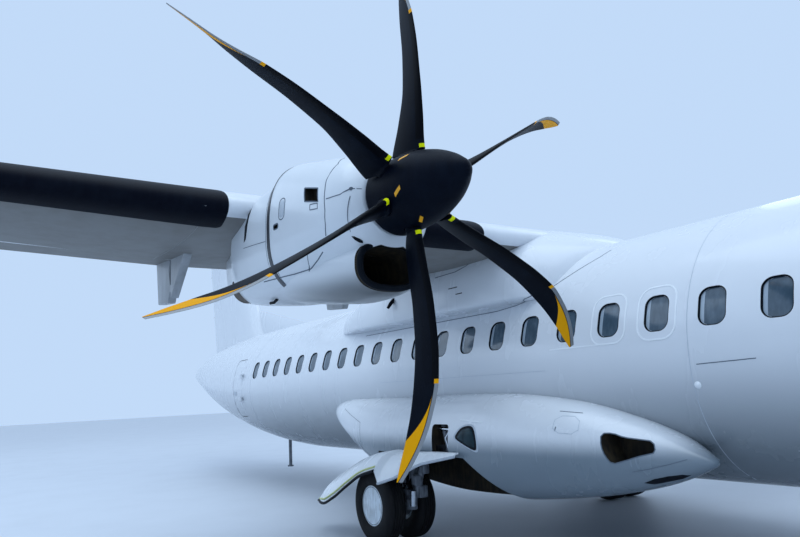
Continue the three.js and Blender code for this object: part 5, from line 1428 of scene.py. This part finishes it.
# tail
tail = {
    "finFoot": 3000, "finTop": 7215, "finLead": 21030, "finFootChord": 4150, "finTopLead": 23850, "finTopChord": 2170,
    "finRatio": 0.12, "finHinge": 0.66, "lead": 24640, "z": 7330, "chord": 1960, "half": 3655, "tipLead": 25120,
    "tipChord": 1250, "ratio": 0.11, "hinge": 0.65, "rudderLow": 3060, "rudderHigh": 7060, "rudderRise": 36,
    "stretch": 1.0625, "elevator": (240, 3480),
    "bullet": [[23480, 7420, 7360, 7390, 35, 2, 2], [23800, 7530, 7230, 7385, 130, 2, 2],
               [24300, 7610, 7165, 7380, 190, 2, 2], [24900, 7650, 7150, 7375, 205, 2, 2],
               [25700, 7635, 7155, 7375, 195, 2, 2], [26400, 7530, 7230, 7370, 130, 2, 2],
               [26900, 7400, 7340, 7370, 35, 2, 2]],
}


def finAt(z):
    # the leading edge and the chord of the fin at one height
    k = (z - tail["finFoot"]) / (tail["finTop"] - tail["finFoot"])
    return [tail[foot] + (tail[head] - tail[foot]) * k
            for foot, head in (("finLead", "finTopLead"), ("finFootChord", "finTopChord"))]


def onFin(z, loop):
    loop = np.asarray(loop, float)
    return np.column_stack([aft(finAt(z)[0] + loop[:, 0]), loop[:, 1] * mm, np.full(len(loop), z * mm)])


def onTail(y, loop):
    lead = tail["lead"] + (tail["tipLead"] - tail["lead"]) * abs(y) / tail["half"]
    loop = np.asarray(loop, float)
    return np.column_stack([aft(lead + loop[:, 0]), np.full(len(loop), y * mm), (tail["z"] + loop[:, 1]) * mm])


def tailChord(y):
    return tail["chord"] + (tail["tipChord"] - tail["chord"]) * abs(y) / tail["half"]


dorsal = {"foot": 3100, "head": 4078, "flat": 3365, "rise": 645, "front": 18560, "lean": 2940, "back": 22600,
          "half": 55, "ease": 1500}
tailplaneEnd = {3655: 0.90, 3640: 0.96, 3600: 0.99, 3490: 1, 1800: 1}  # place outboard and share of the chord


def dorsalFin():
    rings, count = [], 14
    for z in np.linspace(dorsal["foot"], dorsal["head"], 12):
        front = dorsal["front"] + max(0.0, (z - dorsal["flat"]) / dorsal["rise"]) * dorsal["lean"]
        reach = np.linspace(0, 1, count) ** 1.6 * (dorsal["back"] - front)
        half = dorsal["half"] * (1 - (1 - np.clip(reach / dorsal["ease"], 0, 1)) ** 2)
        upper = np.column_stack([aft(front + reach), half * mm, np.full(count, z * mm)])
        rings.append(np.concatenate([upper, (upper[::-1] * np.array([1, -1, 1]))[:-1]]))
    return loftObject("dorsalFin", rings, [skinWhite], angle=50)


def makeTail():
    zs = np.linspace(tail["finFoot"], tail["finTop"], 12)
    fin = loftObject("finSkin", [onFin(z, foilLoop(finAt(z)[1], tail["finRatio"], 0)) for z in zs], [skinWhite])
    bayZs = (tail["rudderLow"] - 200, tail["rudderHigh"] + tail["rudderRise"])
    bay = [onFin(z, bayLoop(finAt(z)[1], tail["finRatio"], 0, tail["finHinge"], 8, tail["stretch"])) for z in bayZs]
    carve(fin, [loftObject("rudderBay", bay, [])])
    settle(joined("finBody", [fin, dorsalFin()]), "airframe", ("fin",))
    stations = spread([23480, 23500, 23560, 23700, 26700, 26850, 26900], 90)
    bullet = hullPiece("finBullet", tail["bullet"], stations, 0, 48, [skinWhite])
    settle(bullet, "airframe", ("fin_bullet",))
    shares = {-y: k for y, k in tailplaneEnd.items()} | {0: 1} | dict(reversed(tailplaneEnd.items()))
    rings = []
    for y, k in shares.items():
        loop = foilLoop(tailChord(y) * k, tail["ratio"] * k, 0, 24)
        rings.append(onTail(y, loop + np.array([tailChord(y) * (1 - k) * 0.6, 0])))
    span = (tail["elevator"][0] - 8, tail["elevator"][1] + 8)
    bays = [loftObject("elevatorBay", [onTail(side * y, bayLoop(tailChord(y), tail["ratio"], 0, tail["hinge"]))
                                       for y in span], []) for side in (1, -1)]
    settle(carve(loftObject("tailplaneSkin", rings, [skinWhite]), bays), "airframe", ("tailplane",))

    def section(y, reach, proud):
        return noseSkin(tailChord(y), tail["ratio"], 0, reach, proud)
    for hand, side in sides.items():
        settle(bootPiece("tailBoot." + hand, (260, 3480), side, section, onTail), "airframe")


makeTail()
print("tail made")


# lamps, static wicks and door handles
small = {
    "wick": 0.11, "wickRadii": (0.005, 0.003, 0.0015), "aileron": (10150, 11300, 12450), "elevator": (1500, 2600),
    "rudder": (4300, 5600), "tip": (13300, 95), "lamp": 0.026, "beacon": (25000, 7.640),
    "beaconShape": [(0.0, -0.01), (0.05, -0.01), (0.05, 0.012), (0.044, 0.035), (0.028, 0.050), (0.0, 0.056)],
    "handles": {"passenger": (19575, 2.02), "cargo": (3757, 1.42), "service": (19700, 1.90)},
    # a plate and its lever: reach aft and ahead, half height, corner, height above the skin and finish
    "handle": [(0.09, 0.09, 0.04, 0.02, 0.0015, seamSoft), (0.07, 0.05, 0.014, 0.012, 0.004, brightSteel)],
}


def makeWicks(body, points):
    along = [(0.01, 0, 0), (-small["wick"] * 0.5, 0, 0), (-small["wick"], 0, -0.004)]
    wicks = [tubeObject("wick", [p + np.array(step) for step in along], small["wickRadii"], 8, [gasketBlack])
             for p in points]
    settle(joined("staticWicks." + body, wicks), body)


def makeSmallPieces():
    for hand, side in sides.items():
        edges = []
        for y in small["aileron"]:
            chord = wingAt(y)["chord"]
            edges.append(onWing(side * y, [[chord - 4, float(camberLine(1.0, wing["camber"])) * chord]])[0])
        makeWicks("aileron_" + hand, edges)
        makeWicks("elevator_" + hand, [onTail(side * y, [[tailChord(y) - 4, 0]])[0] for y in small["elevator"]])
        spot = onWing(side * small["tip"][0], [[small["tip"][1], 4]])[0]
        path = [spot + np.array([x, 0, 0]) for x in (0.030, 0.022, 0.0, -0.03, -0.05)]
        radii = np.array([0.1, 0.7, 1.0, 0.7, 0.1]) * small["lamp"]
        lamp = tubeObject("tipLamp." + hand, path, radii, 20, [lampRed if side > 0 else lampGreen])
        settle(lamp, "airframe")
    makeWicks("rudder", [onFin(z, [[finAt(z)[1] - 4, 0]])[0] for z in small["rudder"]])
    station, z = small["beacon"]
    beacon = latheObject("beacon", small["beaconShape"], "z", (aft(station), 0, z), 32, [lampRed])
    settle(beacon, "airframe")
    for name, (station, z) in small["handles"].items():
        side, x = doors[name]["side"], aft(station)
        parts = []
        for back, ahead, half, corner, proud, finish in small["handle"]:
            outline = roundedLoop(x - back, x + ahead, z - half, z + half, corner)
            parts.append(skinPatch("fuselage", outline, finish, side, proud))
        settle(joined("handle." + name, parts), name + "_door")


makeSmallPieces()
print("lamps, wicks and handles made")


# wheels and gear
tyreWall = [(0, 0.74), (0.06, 0.80), (0.10, 0.86), (0.22, 0.95), (0.4, 1), (0.6, 0.99), (0.8, 0.93), (0.92, 0.82)]
hubFace = [(0.0, 0), (0.20, -0.01), (0.24, -0.08), (0.62, -0.16), (0.84, -0.10), (0.93, 0.02)]
brakePack = [(0.05, -0.060), (0.165, -0.060), (0.165, -0.118), (0.14, -0.128), (0.05, -0.128)]
mainBolts = {"radius": 0.118, "depth": 0.113, "count": 10, "size": 0.5}
noseBolts = {"radius": 0.066, "count": 8, "size": 0.7}
boltShape = [(0.0, 0.0), (0.011, 0.0), (0.011, 0.0096), (0.0088, 0.012), (0.0, 0.012)]
hubCover = [(0.0, 0.118), (0.08, 0.117), (0.16, 0.113), (0.213, 0.108), (0.2145, 0.104), (0.219, 0.104),
            (0.2205, 0.108), (0.232, 0.106), (0.238, 0.099), (0.238, 0.090), (0.0, 0.090)]


def tyreProfile(radius, width, rim, grooves):
    half, wall = width / 2, radius - rim
    side = [(rim + wall * share, -half * out) for share, out in tyreWall] + [(radius - 0.004, -half * 0.68)]
    tread = []
    for place in grooves:
        tread += [(radius, place - 0.006), (radius - 0.009, place - 0.004), (radius - 0.009, place + 0.004),
                  (radius, place + 0.006)]
    return (side + [(radius, -half * 0.6)] + tread + [(radius, half * 0.6)] + [(r, -v) for r, v in side[::-1]]
            + [(rim, -half * 0.74)])


def hubParts(centre, rim, half, out, cap):
    # wheel seen from its outer face: centre cap, dished face and rim flange
    profile = [(rim * share, out * half * (cap + rise)) for share, rise in hubFace]
    profile += [(rim - 0.002, out * half * (cap + 0.03)), (rim - 0.001, out * half * (cap - 0.10)),
                (rim - 0.001, -out * half * 0.72), (0.0, -out * half * 0.72)]
    return latheObject("hubFace", profile, "y", centre, 64, [hubWhite], angle=28)


def boltRing(bolt, centre, out, material, radius, depth, count, size):
    angles = [2 * math.pi * k / count for k in range(count)]
    points = [(centre[0] + radius * math.cos(a), centre[1] + out * depth, centre[2] + radius * math.sin(a))
              for a in angles]
    return copiesOf("hubBolts", bolt, points, [(0, 0, 0) if out > 0 else (math.pi, 0, 0)] * count, material, size)


def makeWheels():
    bolt = latheObject("bolt", boltShape, "y", (0, 0, 0), 6, [])
    for hand, side in sides.items():
        body, y = "main_wheels_" + hand, side * gear["y"]
        hubs = []
        for place, out in (("inner", -side), ("outer", side)):
            centre = (gear["x"], y + out * gear["spread"], gear["wheel"])
            profile = tyreProfile(gear["wheel"], gear["width"], gear["rim"], (-0.052, -0.018, 0.018, 0.052))
            tyre = latheObject(f"mainTyre.{place}.{hand}", profile, "y", centre, 96, [tyreRubber], angle=50,
                               hollow=True)
            settle(tyre, body, (f"main_tyre_{place}_{hand}",))
            pack, cover = ([(r, out * v) for r, v in rows] for rows in (brakePack, hubCover))
            hubs += [hubParts(centre, gear["rim"], gear["width"] * 0.36, out, 0.96),
                     latheObject("brake", pack, "y", centre, 40, [gearSteel], angle=28),
                     latheObject("hubCover", cover, "y", centre, 72, [hubWhite, seamDark],
                                 [0, 0, 0, 1, 1, 1, 0, 0, 0, 0], angle=28),
                     boltRing(bolt, centre, out, hubWhite, **mainBolts)]
        axle = drum("axle", 0.042, -0.2, 0.2, "y", (gear["x"], y, gear["wheel"]), 32, gearSteel)
        settle(joined("mainHubs." + hand, hubs + [axle]), body, ("main_hubs_" + hand,))
    hubs = []
    for hand, side in sides.items():
        centre = (gear["noseX"], side * gear["noseSpread"], gear["noseWheel"])
        profile = tyreProfile(gear["noseWheel"], gear["noseWidth"], gear["noseRim"], (-0.028, 0.0, 0.028))
        tyre = latheObject("noseTyre." + hand, profile, "y", centre, 80, [tyreRubber], angle=50, hollow=True)
        settle(tyre, "nose_wheels", ("nose_tyre_" + hand,))
        half = gear["noseWidth"] * 0.36
        hubs += [hubParts(centre, gear["noseRim"], half, side, 0.95),
                 boltRing(bolt, centre, side, gearSteel, depth=half * 0.80, **noseBolts)]
    axle = drum("axle", 0.024, -0.16, 0.16, "y", (gear["noseX"], 0, gear["noseWheel"]), 24, gearSteel)
    settle(joined("noseHubs", hubs + [axle]), "nose_wheels", ("nose_hubs",))
    bpy.data.objects.remove(bolt)


gearDoor = {
    # place along X from the axle, then distance outboard and height of the inner and the outer edge
    "rows": [[-1490, 2150, 450, 2350, 350], [-1180, 2050, 680, 2450, 355], [-820, 2030, 830, 2480, 460],
             [-420, 2020, 960, 2490, 640], [-70, 2000, 1020, 2490, 790], [260, 2000, 1050, 2490, 870],
             [340, 2000, 1050, 2490, 730], [580, 1980, 1055, 2420, 800], [830, 1960, 1060, 2220, 950],
             [1180, 1930, 1065, 1990, 1030]],
    "bulge": 0.2, "thickness": 0.018, "archEnd": 260, "sealEnd": 262, "railStart": 338,
    "seal": 0.018, "rail": 0.016, "strip": 0.012,
}
legTrim = {
    # ahead of the axle, outboard of the leg's middle and above the axle, then a block's half size
    "blocks": [(0.30, -0.02, 0.10, 0.062), (0.36, -0.10, 0.20, 0.045), (0.24, 0.05, 0.30, 0.05),
               (0.40, -0.04, 0.36, 0.05), (0.50, -0.06, 0.16, 0.058), (0.54, 0.02, 0.30, 0.05),
               (0.60, -0.05, 0.42, 0.045), (0.44, 0.04, 0.02, 0.05)],
    "bars": [("valve", [(0.50, 0.06, 0.02), (0.52, 0.06, 0.19)], 0.036, brightSteel),
             ("lowerLink", [(0.10, 0, 0.02), (0.48, 0.02, 0.12)], 0.045, gearSteel),
             ("upperLink", [(0.62, -0.05, 0.56), (0.48, 0, 0.12)], 0.038, gearSteel)],
    "tall": 1.3, "edge": 0.012,
    # a hose's foot and its reach ahead and up, then how far and how often it sways and waves
    "hoses": 4, "hoseGap": 0.035, "hose": 0.008, "foot": (0.12, 0.06), "reach": (0.30, 0.50), "sway": (0.02, 6),
    "wave": (0.03, 9),
}


def makeLegTrim():
    # brake packs, pipes and links on the leg between the twin wheels
    for hand, side in sides.items():
        def at(ahead, out, up):
            return gear["x"] + ahead, side * (gear["y"] + out), gear["wheel"] + up

        parts = []
        for ahead, out, up, half in legTrim["blocks"]:
            (x, y, z), tall = at(ahead, out, up), half * legTrim["tall"]
            parts.append(boxObject("legBlock", (x - half, y - half, z - half), (x + half, y + half, z + tall),
                                   [gearSteel], legTrim["edge"]))
        parts += [tubeObject(name, [at(*spot) for spot in path], radius, 20, [finish])
                  for name, path, radius, finish in legTrim["bars"]]
        (ahead, up), (onward, rise), (sway, sways), (wave, waves) = (
            legTrim[key] for key in ("foot", "reach", "sway", "wave"))
        for k in range(legTrim["hoses"]):
            shift = (k - (legTrim["hoses"] - 1) / 2) * legTrim["hoseGap"]
            path = [at(ahead + onward * t, shift + sway * math.sin(sways * t + k),
                       up + rise * t + wave * math.sin(waves * t + k)) for t in np.linspace(0, 1, 14)]
            parts.append(tubeObject("hose", path, legTrim["hose"], 10, [gasketBlack if k % 2 else brightSteel]))
        settle(joined("mainLegTrim." + hand, parts), "airframe")


def makeGearDoors():
    rows, end = np.array(gearDoor["rows"], float), gearDoor["archEnd"]
    places = np.concatenate([np.linspace(-1490, 255, 34), [262, 300, 338], np.linspace(350, 1180, 16)])
    columns = np.stack([np.interp(places, rows[:, 0], rows[:, c]) for c in range(1, 5)], 1)
    columns[places <= end] = smoothTable(rows[:6], places[places <= end])
    for hand, side in sides.items():
        grid = []
        for x, (iy, iz, oy, oz) in zip(places, columns):
            inner, chord = np.array([iy, iz]), np.array([oy - iy, oz - iz])
            proud = np.array([-chord[1], chord[0]]) * gearDoor["bulge"]
            spots = [inner + chord * t + proud * 4 * t * (1 - t) for t in np.linspace(0, 1, 15)]
            grid.append([(gear["x"] + x * mm, side * s[0] * mm, s[1] * mm) for s in spots])
        grid = np.array(grid)
        edge, arch = grid[:, -1] - (0, 0, 0.004), grid[places <= end][2:, -2] + (0, side * 0.006, 0.004)
        parts = [sheetObject("gearDoorPlate", grid if side > 0 else grid[:, ::-1], gearDoor["thickness"], [doorWhite]),
                 tubeObject("doorSeal", edge[places <= gearDoor["sealEnd"]], gearDoor["seal"], 10, [gasketBlack]),
                 tubeObject("doorRail", edge[places >= gearDoor["railStart"]], gearDoor["rail"], 10, [seamSoft]),
                 tubeObject("doorStrip", arch, gearDoor["strip"], 8, [sealGreen])]
        settle(joined("mainGearDoor." + hand, parts), "airframe", ("main_gear_door_" + hand,))


makeWheels()
makeLegTrim()
makeGearDoors()
print("wheels and gear doors made")


# stage, light and camera
stage = {
    "half": 90, "low": -0.004, "sky": 1.7, "lightColour": (0.74, 0.87, 1.0),
    "horizon": (0.55, (0.318, 0.415, 0.555)), "zenith": (1.0, (0.46, 0.56, 0.68)),
    # each light's place, the point that it faces, its side and its power
    "lights": {"skyKey": ((4, -6, 26), (0, 0, 2), 24, 2600), "skyFill": ((-18, -18, 14), (0, 0, 2), 16, 500),
               "skyBack": ((0, 24, 18), (0, 0, 3), 18, 900)},
}


def makeStage():
    corners = [(x * stage["half"], y * stage["half"], stage["low"]) for x, y in ((-1, -1), (1, -1), (1, 1), (-1, 1))]
    pale = surface("floorPale", (0.62, 0.66, 0.72), 0.5, dirtScale=0.3, amount=0.1)
    floor = makeObject("floor", corners, [(0, 1, 2, 3)], [pale])
    world = bpy.data.worlds.new("softSky")
    bpy.context.scene.world = world
    world.use_nodes = True
    tree = world.node_tree
    upward = addNode(tree, "ShaderNodeSeparateXYZ", {0: tree.nodes.new("ShaderNodeTexCoord").outputs["Generated"]})
    ramp = addNode(tree, "ShaderNodeValToRGB", {"Fac": upward.outputs["Z"]})
    for stop, (place, colour) in zip(ramp.color_ramp.elements, (stage["horizon"], stage["zenith"])):
        stop.position, stop.color = place, (*colour, 1)
    background = tree.nodes["Background"].inputs
    background["Strength"].default_value = stage["sky"]
    tree.links.new(ramp.outputs["Color"], background["Color"])
    for name, (place, aim, size, power) in stage["lights"].items():
        light = bpy.data.lights.new(name, "AREA")
        light.size, light.energy, light.color = size, power, stage["lightColour"]
        lamp = linked(name, light)
        lamp.location = place
        lamp.rotation_mode = "QUATERNION"
        lamp.rotation_quaternion = (Vector(aim) - Vector(place)).to_track_quat("-Z", "Y")
    bpy.context.scene.view_settings.view_transform = "Standard"


view = {"place": (8.78605, -6.67329, 1.75658), "azimuth": 146.541, "elevation": 10.326, "roll": -2.792, "lens": 30.502}


def makeCamera():
    az, el, roll = (math.radians(view[k]) for k in ("azimuth", "elevation", "roll"))
    forward = Vector((math.cos(el) * math.cos(az), math.cos(el) * math.sin(az), math.sin(el)))
    level = forward.cross(Vector((0, 0, 1))).normalized()
    upright = level.cross(forward)
    right = level * math.cos(roll) + upright * math.sin(roll)
    up = upright * math.cos(roll) - level * math.sin(roll)
    data = bpy.data.cameras.new("photoView")
    data.sensor_width, data.lens = 36, view["lens"]
    data.clip_start, data.clip_end = 0.1, 500
    camera = linked("photoView", data)
    turn = Matrix((right, up, -forward)).transposed().to_4x4()
    camera.matrix_world = Matrix.Translation(view["place"]) @ turn
    bpy.context.scene.camera = camera


makeStage()
makeCamera()
print("scene ready")
